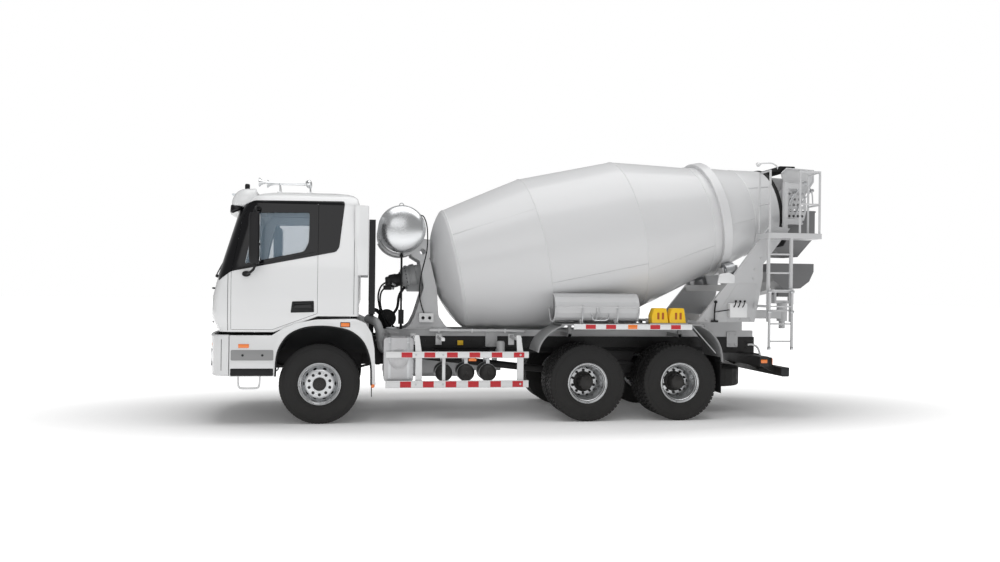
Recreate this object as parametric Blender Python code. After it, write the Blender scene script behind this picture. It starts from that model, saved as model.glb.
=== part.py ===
"""Concrete mixer truck, three axles, built as separate sub-parts in metres.

X runs rearward, the left side is -Y and Z is up. The wheels stand on Z = 0.
Every length below is given from the front axle. DX then moves the whole truck,
so that the origin lies under the middle of its bounding box.
"""

import math

import bmesh
import bpy
from mathutils import Matrix, Vector

for old in list(bpy.data.objects):
    bpy.data.objects.remove(old, do_unlink=True)

# ---------------------------------------------------------------- dimensions
DX = -3.115
GAP = 0.0003
CLEAR = 0.005

TYRE_R = 0.552
TYRE_W = 0.31
RIM_R = 0.255
FRONT_Y = 1.02
TWIN_OUT = 1.09
TWIN_IN = 0.75
AXLE2_X = 3.79
AXLE3_X = 5.18
KINGPIN_Y = 0.80
ARM_X = 0.24
WHEEL_SEG = 24

RAIL_OUT = 0.43
RAIL_IN = 0.345
RAIL_Z0 = 0.93
RAIL_Z1 = 1.18
RAIL_X0 = -1.40
RAIL_X1 = 6.72
SUB_Z0 = RAIL_Z1 + GAP
SUB_Z1 = 1.28

HALF_W = 1.245
CAB_REAR = 0.52
CAB_WALL = 0.05
CAB_SPLIT = 1.27
ROOF_SPLIT = 3.06
PIVOT_X = -1.44
PIVOT_Z = 1.20

DRUM_X = 1.909
DRUM_Z = 2.186
DRUM_TILT = 0.2089
DRUM_WALL = 0.03
DRUM_SEG = 32
RING_S = 4.20
RING_R = 0.92
ROLLER_R = 0.13
ROLLER_ANGLE = math.radians(35)
MOUTH_S = 5.28

CHUTE_X = 7.42
CHUTE_Z = 1.87


# ------------------------------------------------------------------- helpers
def solid(verts, faces):
    mesh = bpy.data.meshes.new("piece")
    mesh.from_pydata([tuple(v) for v in verts], [], faces)
    bm = bmesh.new()
    bm.from_mesh(mesh)
    bmesh.ops.recalc_face_normals(bm, faces=bm.faces)
    bm.to_mesh(mesh)
    bm.free()
    obj = bpy.data.objects.new("piece", mesh)
    bpy.context.scene.collection.objects.link(obj)
    return obj


def loft(rings, closed=False):
    """Skin a list of rings with equal point counts, capped at both ends."""
    count = len(rings[0])
    verts = [p for ring in rings for p in ring]
    faces = []
    pairs = len(rings) if closed else len(rings) - 1
    for i in range(pairs):
        a = i * count
        b = ((i + 1) % len(rings)) * count
        for j in range(count):
            k = (j + 1) % count
            faces.append((a + j, a + k, b + k, b + j))
    if not closed:
        faces.append(tuple(range(count)))
        faces.append(tuple(range((len(rings) - 1) * count, len(rings) * count)))
    return solid(verts, faces)


def prism(axis, outline, lo, hi):
    """Extrude a flat outline along X, Y or Z between lo and hi."""
    if axis == "x":
        return loft([[(v, p[0], p[1]) for p in outline] for v in (lo, hi)])
    if axis == "y":
        return loft([[(p[0], v, p[1]) for p in outline] for v in (lo, hi)])
    return loft([[(p[0], p[1], v) for p in outline] for v in (lo, hi)])


def box(x0, x1, y0, y1, z0, z1):
    return prism("z", [(x0, y0), (x1, y0), (x1, y1), (x0, y1)], z0, z1)


def frame_of(axis):
    """Rotation that carries local Z onto the axis."""
    return Vector((0, 0, 1)).rotation_difference(Vector(axis).normalized()).to_matrix()


def lathe(centre, axis, profile, segments=24):
    """Turn a closed (radius, distance) profile round an axis through the centre."""
    turn = frame_of(axis)
    base = Vector(centre)
    verts = []
    index = []
    for radius, dist in profile:
        row = []
        if radius < 1e-6:
            row = [len(verts)] * segments
            verts.append(base + turn @ Vector((0, 0, dist)))
        else:
            for i in range(segments):
                ang = 2 * math.pi * i / segments
                spoke = Vector((radius * math.cos(ang), radius * math.sin(ang), dist))
                row.append(len(verts))
                verts.append(base + turn @ spoke)
        index.append(row)
    faces = []
    for n, row in enumerate(index):
        nxt = index[(n + 1) % len(index)]
        for i in range(segments):
            k = (i + 1) % segments
            ids = []
            for v in (row[i], row[k], nxt[k], nxt[i]):
                if v not in ids:
                    ids.append(v)
            if len(ids) > 2:
                faces.append(tuple(ids))
    return solid(verts, faces)


def rod(start, end, radius, segments=16):
    start = Vector(start)
    end = Vector(end)
    length = (end - start).length
    return lathe(start, end - start, [(0, 0), (radius, 0), (radius, length), (0, length)], segments)


def pipe(points, radius, segments=12):
    """A round bar bent through a list of points."""
    pts = [Vector(p) for p in points]
    rings = []
    side = None
    for i, p in enumerate(pts):
        before = (p - pts[i - 1]).normalized() if i else (pts[1] - p).normalized()
        after = (pts[i + 1] - p).normalized() if i < len(pts) - 1 else before
        mid = (before + after).normalized()
        if side is None:
            ref = Vector((0, 0, 1)) if abs(before.z) < 0.9 else Vector((1, 0, 0))
            side = before.cross(ref).normalized()
        side = (side - before * side.dot(before)).normalized()
        other = before.cross(side)
        ring = []
        for k in range(segments):
            ang = 2 * math.pi * k / segments
            q = side * math.cos(ang) * radius + other * math.sin(ang) * radius
            q -= before * (q.dot(mid) / before.dot(mid))
            ring.append(p + q)
        rings.append(ring)
        side = (side - after * side.dot(after)).normalized()
    return loft(rings)


def combine(base, other, how):
    mod = base.modifiers.new("join", "BOOLEAN")
    mod.operation = how
    mod.solver = "EXACT"
    mod.object = other
    depsgraph = bpy.context.evaluated_depsgraph_get()
    mesh = bpy.data.meshes.new_from_object(base.evaluated_get(depsgraph))
    base.modifiers.clear()
    base.data = mesh
    bpy.data.objects.remove(other, do_unlink=True)
    return base


def fuse(*pieces):
    base = pieces[0]
    for piece in pieces[1:]:
        combine(base, piece, "UNION")
    return base


def cut(base, *cutters):
    for cutter in cutters:
        combine(base, cutter, "DIFFERENCE")
    return base


def common(base, other):
    return combine(base, other, "INTERSECT")


def copy(obj):
    twin = bpy.data.objects.new("piece", obj.data.copy())
    bpy.context.scene.collection.objects.link(twin)
    return twin


def mirror(obj):
    """The same piece on the other side of the truck."""
    twin = copy(obj)
    bm = bmesh.new()
    bm.from_mesh(twin.data)
    bmesh.ops.scale(bm, vec=(1, -1, 1), verts=bm.verts)
    bmesh.ops.reverse_faces(bm, faces=bm.faces)
    bm.to_mesh(twin.data)
    bm.free()
    return twin


def both(obj):
    return fuse(obj, mirror(obj))


PAINT = {}


def material(name, colour, rough, metal):
    mat = bpy.data.materials.new(name)
    mat.use_nodes = True
    shader = mat.node_tree.nodes["Principled BSDF"]
    shader.inputs["Base Color"].default_value = (*colour, 1)
    shader.inputs["Roughness"].default_value = rough
    shader.inputs["Metallic"].default_value = metal
    mat.diffuse_color = (*colour, 1)
    PAINT[name] = mat


material("white", (0.86, 0.87, 0.87), 0.25, 0.0)
material("drum", (0.72, 0.73, 0.74), 0.35, 0.0)
material("grey", (0.45, 0.46, 0.47), 0.45, 0.0)
material("black", (0.03, 0.03, 0.035), 0.5, 0.0)
material("dark", (0.10, 0.10, 0.11), 0.5, 0.3)
material("tyre", (0.02, 0.02, 0.02), 0.85, 0.0)
material("steel", (0.62, 0.63, 0.64), 0.3, 0.9)
material("glass", (0.12, 0.16, 0.18), 0.05, 0.0)
material("seat", (0.09, 0.09, 0.10), 0.9, 0.0)


def node(name, obj, paint, origin=None):
    """Name one finished sub-part, paint it and place its origin."""
    bm = bmesh.new()
    bm.from_mesh(obj.data)
    bmesh.ops.remove_doubles(bm, verts=bm.verts, dist=0.000001)
    bm.to_mesh(obj.data)
    bm.free()
    obj.data.shade_smooth()
    obj.data.set_sharp_from_angle(angle=math.radians(30))
    home = Vector(origin) if origin else Vector((0, 0, 0))
    obj.data.transform(Matrix.Translation(-home))
    obj.location = home + Vector((DX, 0, 0))
    obj.name = name
    obj.data.name = name
    obj.data.materials.clear()
    obj.data.materials.append(PAINT[paint].copy())
    obj.data.materials[0].name = name
    return obj


def inset(outline, dist):
    """Shrink a convex outline by a distance, whichever way round it runs."""
    count = len(outline)
    area = sum(
        outline[i][0] * outline[(i + 1) % count][1] - outline[(i + 1) % count][0] * outline[i][1]
        for i in range(count)
    )
    sign = 1 if area > 0 else -1
    lines = []
    for i in range(count):
        ax, ay = outline[i]
        bx, by = outline[(i + 1) % count]
        length = math.hypot(bx - ax, by - ay)
        nx = -(by - ay) / length * sign
        ny = (bx - ax) / length * sign
        lines.append((ax + nx * dist, ay + ny * dist, bx - ax, by - ay))
    result = []
    for i in range(count):
        px, py, pdx, pdy = lines[i - 1]
        qx, qy, qdx, qdy = lines[i]
        den = pdx * qdy - pdy * qdx
        t = ((qx - px) * qdy - (qy - py) * qdx) / den
        result.append((px + pdx * t, py + pdy * t))
    return result


# -------------------------------------------------------------------- wheels
def tyre_loop(mid):
    half = TYRE_W / 2
    right = [
        (RIM_R + 0.0006, 0.1084),
        (0.292, 0.1086),
        (0.310, 0.138),
        (0.430, half),
        (0.535, half - 0.010),
        (TYRE_R, half - 0.035),
    ]
    return [(r, mid + t) for r, t in right] + [(r, mid - t) for r, t in reversed(right)]


def front_rim(side):
    profile = [
        (0, 0.195),
        (0.080, 0.195),
        (0.098, 0.175),
        (0.100, 0.135),
        (0.185, 0.135),
        (0.228, 0.030),
        (0.245, 0.115),
        (0.286, 0.142),
        (0.289, 0.1092),
        (RIM_R, 0.1090),
        (RIM_R, -0.1090),
        (0.289, -0.1092),
        (0.286, -0.142),
        (0.240, -0.100),
        (0.215, 0.020),
        (0.170, 0.105),
        (0, 0.105),
    ]
    return lathe((0, side * FRONT_Y, TYRE_R), (0, side, 0), profile, WHEEL_SEG)


def front_tyre(side):
    return lathe((0, side * FRONT_Y, TYRE_R), (0, side, 0), tyre_loop(0), WHEEL_SEG)


def twin_wheel(x, side):
    outer = TWIN_OUT
    inner = TWIN_IN
    half = TYRE_W / 2
    profile = [
        (0, 1.170),
        (0.100, 1.170),
        (0.118, 1.050),
        (0.172, 1.040),
        (0.176, 0.955),
        (0.235, 0.955),
        (0.245, outer + 0.110),
        (0.286, outer + 0.135),
        (0.300, outer + 0.130),
        (0.420, outer + half),
        (0.535, outer + half - 0.010),
        (TYRE_R, outer + half - 0.035),
        (TYRE_R, outer - half + 0.035),
        (0.420, outer - half),
        (0.265, 0.920),
        (0.420, inner + half),
        (TYRE_R, inner + half - 0.035),
        (TYRE_R, inner - half + 0.035),
        (0.420, inner - half),
        (0.286, inner - 0.135),
        (0.248, inner - 0.110),
        (0.235, 0.900),
        (0, 0.900),
    ]
    return lathe((x, 0, TYRE_R), (0, side, 0), profile, WHEEL_SEG)


for label, side in (("left", -1), ("right", 1)):
    hub = (0, side * FRONT_Y, TYRE_R)
    node("front_tyre_" + label, front_tyre(side), "tyre", hub)
    node("front_rim_" + label, front_rim(side), "steel", hub)
    for row, x in (("front", AXLE2_X), ("rear", AXLE3_X)):
        wheel = twin_wheel(x, side)
        node("twin_wheel_" + row + "_" + label, wheel, "tyre", (x, side * TWIN_OUT, TYRE_R))

# ---------------------------------------------------------------- front axle
EYE_Z0 = TYRE_R - 0.07
EYE_Z1 = TYRE_R + 0.07
beam = prism(
    "x",
    [
        (-0.80, 0.60),
        (-0.55, 0.56),
        (-0.48, 0.54),
        (0.48, 0.54),
        (0.55, 0.56),
        (0.80, 0.60),
        (0.80, 0.50),
        (0.58, 0.46),
        (0.46, 0.43),
        (-0.46, 0.43),
        (-0.58, 0.46),
        (-0.80, 0.50),
    ],
    -0.050,
    0.050,
)
for side in (-1, 1):
    beam = cut(beam, rod((0, side * KINGPIN_Y, 0.3), (0, side * KINGPIN_Y, 0.9), 0.040, 20))
    eye = [(0.0216, EYE_Z0), (0.055, EYE_Z0), (0.055, EYE_Z1), (0.0216, EYE_Z1)]
    beam = fuse(beam, lathe((0, side * KINGPIN_Y, 0), (0, 0, 1), eye, 20))
    spring = prism(
        "y",
        [
            (-0.80, 0.79),
            (-0.40, 0.71),
            (0.0, 0.68),
            (0.40, 0.71),
            (0.80, 0.79),
            (0.80, 0.77),
            (0.35, 0.66),
            (0.12, 0.60),
            (-0.12, 0.60),
            (-0.35, 0.66),
            (-0.80, 0.77),
        ],
        side * 0.36,
        side * 0.43,
    )
    seat = box(-0.10, 0.10, side * 0.40 - 0.045, side * 0.40 + 0.045, 0.50, 0.62)
    beam = fuse(beam, seat, spring)
    for x in (-0.80, 0.80):
        hanger = prism(
            "y",
            [(x - 0.03, 0.75), (x + 0.03, 0.75), (x + 0.07, RAIL_Z0 - GAP), (x - 0.07, RAIL_Z0 - GAP)],
            side * 0.355,
            side * 0.425,
        )
        beam = fuse(beam, hanger)
node("front_axle", beam, "black")


def knuckle(side):
    y = side * KINGPIN_Y
    fork = lathe(
        (0, y, 0),
        (0, 0, 1),
        [
            (0, EYE_Z0 - 0.045),
            (0.052, EYE_Z0 - 0.045),
            (0.052, EYE_Z0 - GAP),
            (0.0205, EYE_Z0 - GAP),
            (0.0205, EYE_Z1 + GAP),
            (0.052, EYE_Z1 + GAP),
            (0.052, EYE_Z1 + 0.045),
            (0, EYE_Z1 + 0.045),
        ],
        20,
    )
    y0 = y + side * 0.062
    y1 = y + side * 0.092
    y2 = y + side * 0.02
    plate = box(-0.05, 0.05, min(y0, y1), max(y0, y1), EYE_Z0 - 0.0445, EYE_Z1 + 0.0445)
    lug0 = box(-0.045, 0.045, min(y2, y1), max(y2, y1) - 0.001, EYE_Z0 - 0.043, EYE_Z0 - 0.004)
    lug1 = box(-0.045, 0.045, min(y2, y1), max(y2, y1) - 0.001, EYE_Z1 + 0.004, EYE_Z1 + 0.043)
    spindle = lathe(
        (0, 0, TYRE_R),
        (0, side, 0),
        [
            (0, KINGPIN_Y + 0.080),
            (0.19, KINGPIN_Y + 0.080),
            (0.19, KINGPIN_Y + 0.200),
            (0.06, KINGPIN_Y + 0.200),
            (0.06, FRONT_Y + 0.105 - GAP),
            (0, FRONT_Y + 0.105 - GAP),
        ],
        24,
    )
    arm_z = EYE_Z0 - 0.030
    arm = box(0.03, ARM_X, y - 0.022, y + 0.022, arm_z - 0.012, arm_z + 0.012)
    stud_profile = [(0, -0.0135), (0.030, -0.0135), (0.030, 0.013), (0.011, 0.013), (0.011, 0.045), (0, 0.045)]
    stud = lathe((ARM_X, y, arm_z), (0, 0, 1), stud_profile, 16)
    return fuse(fork, plate, lug0, lug1, spindle, arm, stud)


for label, side in (("left", -1), ("right", 1)):
    node("knuckle_" + label, knuckle(side), "dark", (0, side * KINGPIN_Y, TYRE_R))

LINK_Z = EYE_Z0 - 0.030 + 0.013 + GAP
link = rod((ARM_X, -KINGPIN_Y + 0.01, LINK_Z + 0.017), (ARM_X, KINGPIN_Y - 0.01, LINK_Z + 0.017), 0.016)
for side in (-1, 1):
    link = fuse(link, rod((ARM_X, side * KINGPIN_Y, LINK_Z), (ARM_X, side * KINGPIN_Y, LINK_Z + 0.034), 0.028))
for side in (-1, 1):
    link = cut(link, rod((ARM_X, side * KINGPIN_Y, 0.3), (ARM_X, side * KINGPIN_Y, 0.7), 0.0118))
node("tie_rod", link, "dark", (ARM_X, -KINGPIN_Y, LINK_Z))


# ----------------------------------------------------------------- rear axles
def rear_axle(x):
    half = [
        (0, 0.900 - GAP),
        (0.070, 0.900 - GAP),
        (0.070, 0.870),
        (0.205, 0.870),
        (0.205, 0.660),
        (0.100, 0.650),
        (0.100, 0.320),
        (0.210, 0.170),
    ]
    profile = half + [(0.250, 0.0)] + [(r, -d) for r, d in reversed(half)]
    return lathe((x, 0, TYRE_R), (0, 1, 0), profile, 20)


axle2 = rear_axle(AXLE2_X)
axle2 = fuse(axle2, rod((1.3665, 0, 0.86), (AXLE2_X - 0.15, 0, TYRE_R + 0.06), 0.055))
axle2 = fuse(axle2, box(AXLE2_X - 0.30, AXLE2_X, -0.09, 0.09, TYRE_R - 0.06, TYRE_R + 0.12))
node("rear_axle_front", axle2, "black")
axle3 = rear_axle(AXLE3_X)
axle3 = fuse(axle3, rod((AXLE2_X + 0.275, 0, TYRE_R), (AXLE3_X - 0.15, 0, TYRE_R), 0.045))
node("rear_axle_rear", axle3, "black")

mid = (AXLE2_X + AXLE3_X) / 2
bogie = box(mid - 0.06, mid + 0.06, -0.40, 0.40, 0.83, 0.90)
for side in (-1, 1):
    ya = side * 0.43
    yb = side * 0.52
    y0 = min(ya, yb)
    y1 = max(ya, yb)
    pack = prism(
        "y",
        [
            (AXLE2_X - 0.16, 0.695),
            (AXLE2_X + 0.25, 0.72),
            (mid - 0.15, 0.80),
            (mid + 0.15, 0.80),
            (AXLE3_X - 0.25, 0.72),
            (AXLE3_X + 0.16, 0.695),
            (AXLE3_X + 0.16, TYRE_R + 0.100 + GAP),
            (AXLE3_X - 0.25, TYRE_R + 0.100 + GAP),
            (mid + 0.12, 0.63),
            (mid - 0.12, 0.63),
            (AXLE2_X + 0.25, TYRE_R + 0.100 + GAP),
            (AXLE2_X - 0.16, TYRE_R + 0.100 + GAP),
        ],
        y0,
        y1,
    )
    plate = prism(
        "y",
        [(mid - 0.10, 0.53), (mid + 0.10, 0.53), (mid + 0.26, RAIL_Z0 - GAP), (mid - 0.26, RAIL_Z0 - GAP)],
        side * 0.36,
        side * 0.44,
    )
    stub = rod((mid, side * 0.375, 0.60), (mid, side * 0.55, 0.60), 0.055, 16)
    bogie = fuse(bogie, pack, plate, stub)
node("bogie_suspension", bogie, "black")

# ---------------------------------------------------------------------- frame
skin = 0.014
channel = [
    (-RAIL_OUT, RAIL_Z0),
    (-RAIL_IN, RAIL_Z0),
    (-RAIL_IN, RAIL_Z0 + skin),
    (-RAIL_OUT + skin, RAIL_Z0 + skin),
    (-RAIL_OUT + skin, RAIL_Z1 - skin),
    (-RAIL_IN, RAIL_Z1 - skin),
    (-RAIL_IN, RAIL_Z1),
    (-RAIL_OUT, RAIL_Z1),
]
left_rail = prism("x", channel, RAIL_X0, RAIL_X1)
chassis = fuse(left_rail, mirror(left_rail))
for x in (-1.30, -0.88, 1.45, 2.40, 3.25, mid, 5.86, 6.62):
    bar = box(x - 0.04, x + 0.04, -RAIL_OUT + 0.005, RAIL_OUT - 0.005, RAIL_Z0 + 0.03, RAIL_Z1 - 0.03)
    chassis = fuse(chassis, bar)
for side in (-1, 1):
    ya = side * 0.385
    yb = side * 0.425
    y0 = min(ya, yb)
    y1 = max(ya, yb)
    lug = prism(
        "y",
        [(-1.47, 1.12), (-1.30, 1.10), (-1.30, 1.175), (-1.38, 1.235), (-1.47, 1.235)],
        y0,
        y1,
    )
    post = box(0.40, 0.48, y0, y1, RAIL_Z1 - 0.01, 1.49 - GAP)
    chassis = fuse(chassis, lug, post)
chassis = cut(chassis, rod((PIVOT_X, -0.5, PIVOT_Z), (PIVOT_X, 0.5, PIVOT_Z), 0.0205, 24))
node("frame", chassis, "black")

sub = box(0.80, 6.70, -0.42, -0.345, SUB_Z0, SUB_Z1)
sub = both(sub)
for x in (1.28, 1.60, 2.60, 3.60, 4.60, 5.66, 6.46):
    sub = fuse(sub, box(x - 0.04, x + 0.04, -0.40, 0.40, SUB_Z0 + 0.01, SUB_Z1 - 0.02))
node("subframe", sub, "black")

engine = box(-0.75, 0.56, -0.33, 0.33, 0.70, 1.22)
engine = fuse(engine, box(0.50, 1.30, -0.20, 0.20, 0.74, 1.14))
engine = fuse(engine, rod((1.28, 0, 0.86), (1.36 - GAP, 0, 0.86), 0.07))
for x in (-0.35, 0.75):
    mount = box(x - 0.05, x + 0.05, -RAIL_OUT + skin + GAP, RAIL_OUT - skin - GAP, 0.98, 1.06)
    engine = fuse(engine, mount)
node("engine_block", engine, "dark")

# ---------------------------------------------------------------- chassis kit
tank_body = prism(
    "x",
    [
        (0.56, 0.52),
        (0.62, 0.46),
        (1.10, 0.46),
        (1.16, 0.52),
        (1.16, 1.00),
        (1.10, 1.06),
        (0.62, 1.06),
        (0.56, 1.00),
    ],
    1.05,
    2.15,
)
for x in (1.25, 1.95):
    tank_body = fuse(tank_body, box(x - 0.04, x + 0.04, RAIL_OUT + GAP, 0.62, 0.94, 1.04))
node("fuel_tank", tank_body, "steel")

exhaust = prism(
    "y",
    [(0.90, 0.59), (1.26, 0.59), (1.285, 0.62), (1.285, 1.16), (1.26, 1.19), (0.90, 1.19), (0.875, 1.16), (0.875, 0.62)],
    -1.17,
    -0.52,
)
exhaust = fuse(exhaust, box(1.00, 1.16, -0.55, -RAIL_OUT - GAP, 1.00, 1.10))
bend = [(0.95, -0.80, 1.06), (0.85, -0.80, 1.06), (0.81, -0.80, 1.10), (0.805, -0.80, 1.32), (0.78, -0.77, 1.39), (0.68, -0.62, 1.41)]
exhaust = fuse(exhaust, pipe(bend, 0.048, 10))
node("exhaust_box", exhaust, "steel")

tanks = None
for x in (1.74, 2.06, 2.38):
    profile = [(0, -0.235), (0.09, -0.215), (0.125, -0.17), (0.125, 0.17), (0.09, 0.215), (0, 0.235)]
    cylinder = lathe((x, -0.76, 0.68), (0, 1, 0), profile, 14)
    tanks = fuse(tanks, cylinder) if tanks else cylinder
for y in (-0.90, -0.62):
    tanks = fuse(tanks, box(1.64, 2.48, y - 0.02, y + 0.02, 0.78, 0.84))
for x in (1.80, 2.32):
    tanks = fuse(tanks, box(x - 0.03, x + 0.03, -0.92, -RAIL_OUT - GAP, 0.83, 0.89))
    tanks = fuse(tanks, box(x - 0.03, x + 0.03, -0.47, -RAIL_OUT - GAP, 0.84, 1.00))
node("air_tanks", tanks, "black")


def side_guard(side):
    rail0 = box(0.90, 2.92, -1.240, -1.205, 0.915, 1.005)
    rail1 = box(0.90, 2.92, -1.240, -1.205, 0.495, 0.600)
    parts = [rail0, rail1]
    for x in (1.32, 1.70, 2.80):
        parts.append(box(x - 0.03, x + 0.03, -1.215, -1.175, 0.50, 1.24))
        parts.append(box(x - 0.025, x + 0.025, -1.19, -RAIL_OUT - GAP, 1.195 - 0.045, 1.24 - 0.045))
    guard = fuse(*parts)
    return guard if side < 0 else mirror(guard)


left_guard = side_guard(-1)
right_guard = mirror(left_guard)
node("side_guard_left", left_guard, "white")
node("side_guard_right", right_guard, "white")

# ---------------------------------------------------------- bumper and fenders
nose = [(-1.20, -1.235), (-1.33, -1.215), (-1.43, -1.10), (-1.51, -0.80), (-1.555, -0.40), (-1.57, 0.0)]
nose = nose + [(x, -y) for x, y in reversed(nose[:-1])]
back = [(-1.20, -1.175), (-1.31, -1.155), (-1.38, -1.06), (-1.455, -0.78), (-1.495, -0.40), (-1.51, 0.0)]
back = back + [(x, -y) for x, y in reversed(back[:-1])]
bumper = prism("z", nose + back[::-1], 0.67, 1.225)
for side in (-1, 1):
    ya = side * 0.34
    yb = side * 0.43
    bumper = fuse(bumper, box(-1.53, RAIL_X0 - GAP, min(ya, yb), max(ya, yb), 0.94, 1.09))
node("front_bumper", bumper, "white")


def front_fender():
    outer = [
        (-1.195, 0.665),
        (-1.195, 1.225),
        (-0.63, 1.225),
        (-0.05, 1.445),
        (0.50, 1.455),
        (0.66, 1.37),
        (0.735, 1.10),
        (0.755, 0.56),
        (0.665, 0.56),
        (0.640, 0.92),
        (0.54, 1.14),
        (0.35, 1.28),
        (0.03, 1.335),
        (-0.28, 1.27),
        (-0.48, 1.11),
        (-0.575, 0.90),
        (-0.585, 0.665),
    ]
    skin_plate = prism("y", outer, -HALF_W, -HALF_W + 0.03)
    outside = [
        (0.745, 0.57),
        (0.73, 1.09),
        (0.62, 1.28),
        (0.40, 1.38),
        (0.03, 1.41),
        (-0.30, 1.34),
        (-0.56, 1.20),
        (-0.70, 1.00),
        (-0.70, 0.68),
    ]
    inside = [
        (0.725, 0.57),
        (0.705, 1.08),
        (0.605, 1.26),
        (0.39, 1.36),
        (0.03, 1.39),
        (-0.29, 1.32),
        (-0.545, 1.185),
        (-0.68, 0.99),
        (-0.68, 0.68),
    ]
    liner = prism("y", outside + inside[::-1], -1.225, -0.60)
    steps = box(-1.19, -0.69, -1.225, -0.78, 0.68, 1.03)
    recess = box(-1.16, -0.72, -1.30, -0.98, 0.80, 0.97)
    steps = cut(steps, recess)
    fender = fuse(skin_plate, liner)
    fender = cut(fender, box(-1.16, -0.72, -1.30, -1.10, 0.80, 0.97))
    fender = fuse(fender, steps)
    fender = fuse(fender, box(-1.05, -0.93, -0.80, -RAIL_OUT - GAP, 0.96, 1.02))
    fender = fuse(fender, box(0.71, 0.74, -0.65, -RAIL_OUT - GAP, 0.98, 1.05))
    loop = [
        (-1.08, -1.19, 0.70),
        (-1.07, -1.19, 0.53),
        (-1.04, -1.19, 0.50),
        (-0.84, -1.19, 0.50),
        (-0.81, -1.19, 0.53),
        (-0.80, -1.19, 0.70),
    ]
    return fuse(fender, pipe(loop, 0.016, 8))


left_fender = front_fender()
right_fender = mirror(left_fender)
node("front_fender_left", left_fender, "white")
node("front_fender_right", right_fender, "white")


def rear_fender():
    outside = [
        (2.985, 0.80),
        (3.02, 1.00),
        (3.14, 1.21),
        (3.32, 1.345),
        (3.55, 1.40),
        (5.42, 1.40),
        (5.65, 1.34),
        (5.82, 1.20),
        (5.93, 0.98),
        (5.955, 0.42),
    ]
    inside = [
        (3.005, 0.80),
        (3.045, 0.99),
        (3.16, 1.195),
        (3.33, 1.325),
        (3.555, 1.38),
        (5.415, 1.38),
        (5.635, 1.32),
        (5.80, 1.185),
        (5.91, 0.97),
        (5.935, 0.42),
    ]
    sheet = prism("y", outside + inside[::-1], -1.235, -0.60)
    face = box(3.52, 5.40, -1.25, -1.225, 1.325, 1.405)
    sheet = fuse(sheet, face)
    for x in (3.60, 5.30):
        sheet = fuse(sheet, box(x - 0.03, x + 0.03, -1.10, -0.4203, 1.335, 1.385))
        sheet = fuse(sheet, box(x - 0.03, x + 0.03, -0.46, -0.4203, 1.20, 1.385))
    return sheet


left_wing = rear_fender()
right_wing = mirror(left_wing)
node("rear_fender_left", left_wing, "grey")
node("rear_fender_right", right_wing, "grey")

under = box(6.78, 6.90, -1.19, 1.19, 0.635, 0.765)
under = fuse(under, box(6.44, 6.58, -1.18, 1.18, 0.78, RAIL_Z0 - GAP))
for side in (-1, 1):
    for y in (0.40, 0.95):
        stay = prism("y", [(6.50, 0.80), (6.50, 0.90), (6.86, 0.74), (6.86, 0.66), (6.80, 0.66)], side * y, side * (y + 0.04))
        under = fuse(under, stay)
node("rear_underrun", under, "black")

spare = lathe((6.06, 0, 0.555), (0, 0, 1), tyre_loop(0), WHEEL_SEG)
disc_profile = [
    (0, 0.25),
    (0.03, 0.25),
    (0.03, 0.03),
    (0.16, 0.03),
    (0.20, 0.00),
    (0.22, 0.12),
    (0.27, 0.125),
    (0.27, -0.115),
    (0.22, -0.12),
    (0.19, -0.04),
    (0, -0.04),
]
spare = fuse(spare, lathe((6.06, 0, 0.555), (0, 0, 1), disc_profile, 20))
spare = fuse(spare, box(6.00, 6.12, -RAIL_OUT, RAIL_OUT, 0.77, 0.83))
for y0 in (-0.42, 0.36):
    spare = fuse(spare, box(6.01, 6.11, y0, y0 + 0.06, 0.80, RAIL_Z0 - GAP))
node("spare_wheel", spare, "tyre")

intake = box(0.655, 0.745, -1.13, -0.98, 1.52, 2.84)
intake = fuse(intake, box(0.655, 0.745, -1.00, -0.36, 1.52, 1.62))
intake = fuse(intake, box(0.665, 0.735, -0.425, -0.365, RAIL_Z1 + GAP, 1.55))
node("air_intake", intake, "black")

# ----------------------------------------------------------- drum and its drive
AXIS = Vector((math.cos(DRUM_TILT), 0, math.sin(DRUM_TILT)))
DOWN = Vector((math.sin(DRUM_TILT), 0, -math.cos(DRUM_TILT)))
DRUM_AT = Vector((DRUM_X, 0, DRUM_Z))


def along(dist):
    return DRUM_AT + AXIS * dist


HULL = [
    (-0.280, 0.320),
    (-0.180, 0.620),
    (-0.060, 0.850),
    (0.000, 0.917),
    (1.301, 1.183),
    (2.789, 1.187),
    (4.016, 0.883),
    (4.130, 0.862),
    (4.130, RING_R - 0.004),
    (4.135, RING_R),
    (4.265, RING_R),
    (4.270, RING_R - 0.004),
    (4.270, 0.835),
    (4.760, 0.715),
    (5.100, 0.640),
    (MOUTH_S - 0.06, 0.610),
    (MOUTH_S, 0.610),
]
HOLLOW = [
    (MOUTH_S, 0.580),
    (4.760, 0.685),
    (4.016, 0.850),
    (2.789, 1.157),
    (1.301, 1.153),
    (0.010, 0.885),
    (-0.150, 0.600),
    (-0.240, 0.320),
    (-0.250, 0.0),
]
drum_profile = [(0, -0.360), (0.165, -0.360), (0.170, -0.300), (0.200, -0.290)]
drum_profile += [(r, s) for s, r in HULL]
drum_profile += [(r, s) for s, r in HOLLOW]
drum = lathe(DRUM_AT, AXIS, drum_profile, DRUM_SEG)
node("drum", drum, "drum", DRUM_AT)

gear_profile = [
    (0, -1.02),
    (0.085, -1.02),
    (0.105, -0.99),
    (0.105, -0.80),
    (0.165, -0.76),
    (0.200, -0.72),
    (0.200, -0.55),
    (0.175, -0.53),
    (0.175, -0.40),
    (0.150, -0.37),
    (0.150, -0.360 - GAP),
    (0, -0.360 - GAP),
]
gearbox = lathe(DRUM_AT, AXIS, gear_profile, 24)
foot = box(1.22, 1.48, -0.17, 0.17, 1.84 + GAP, 2.00)
gearbox = fuse(gearbox, foot)
node("drum_gearbox", gearbox, "dark")

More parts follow.
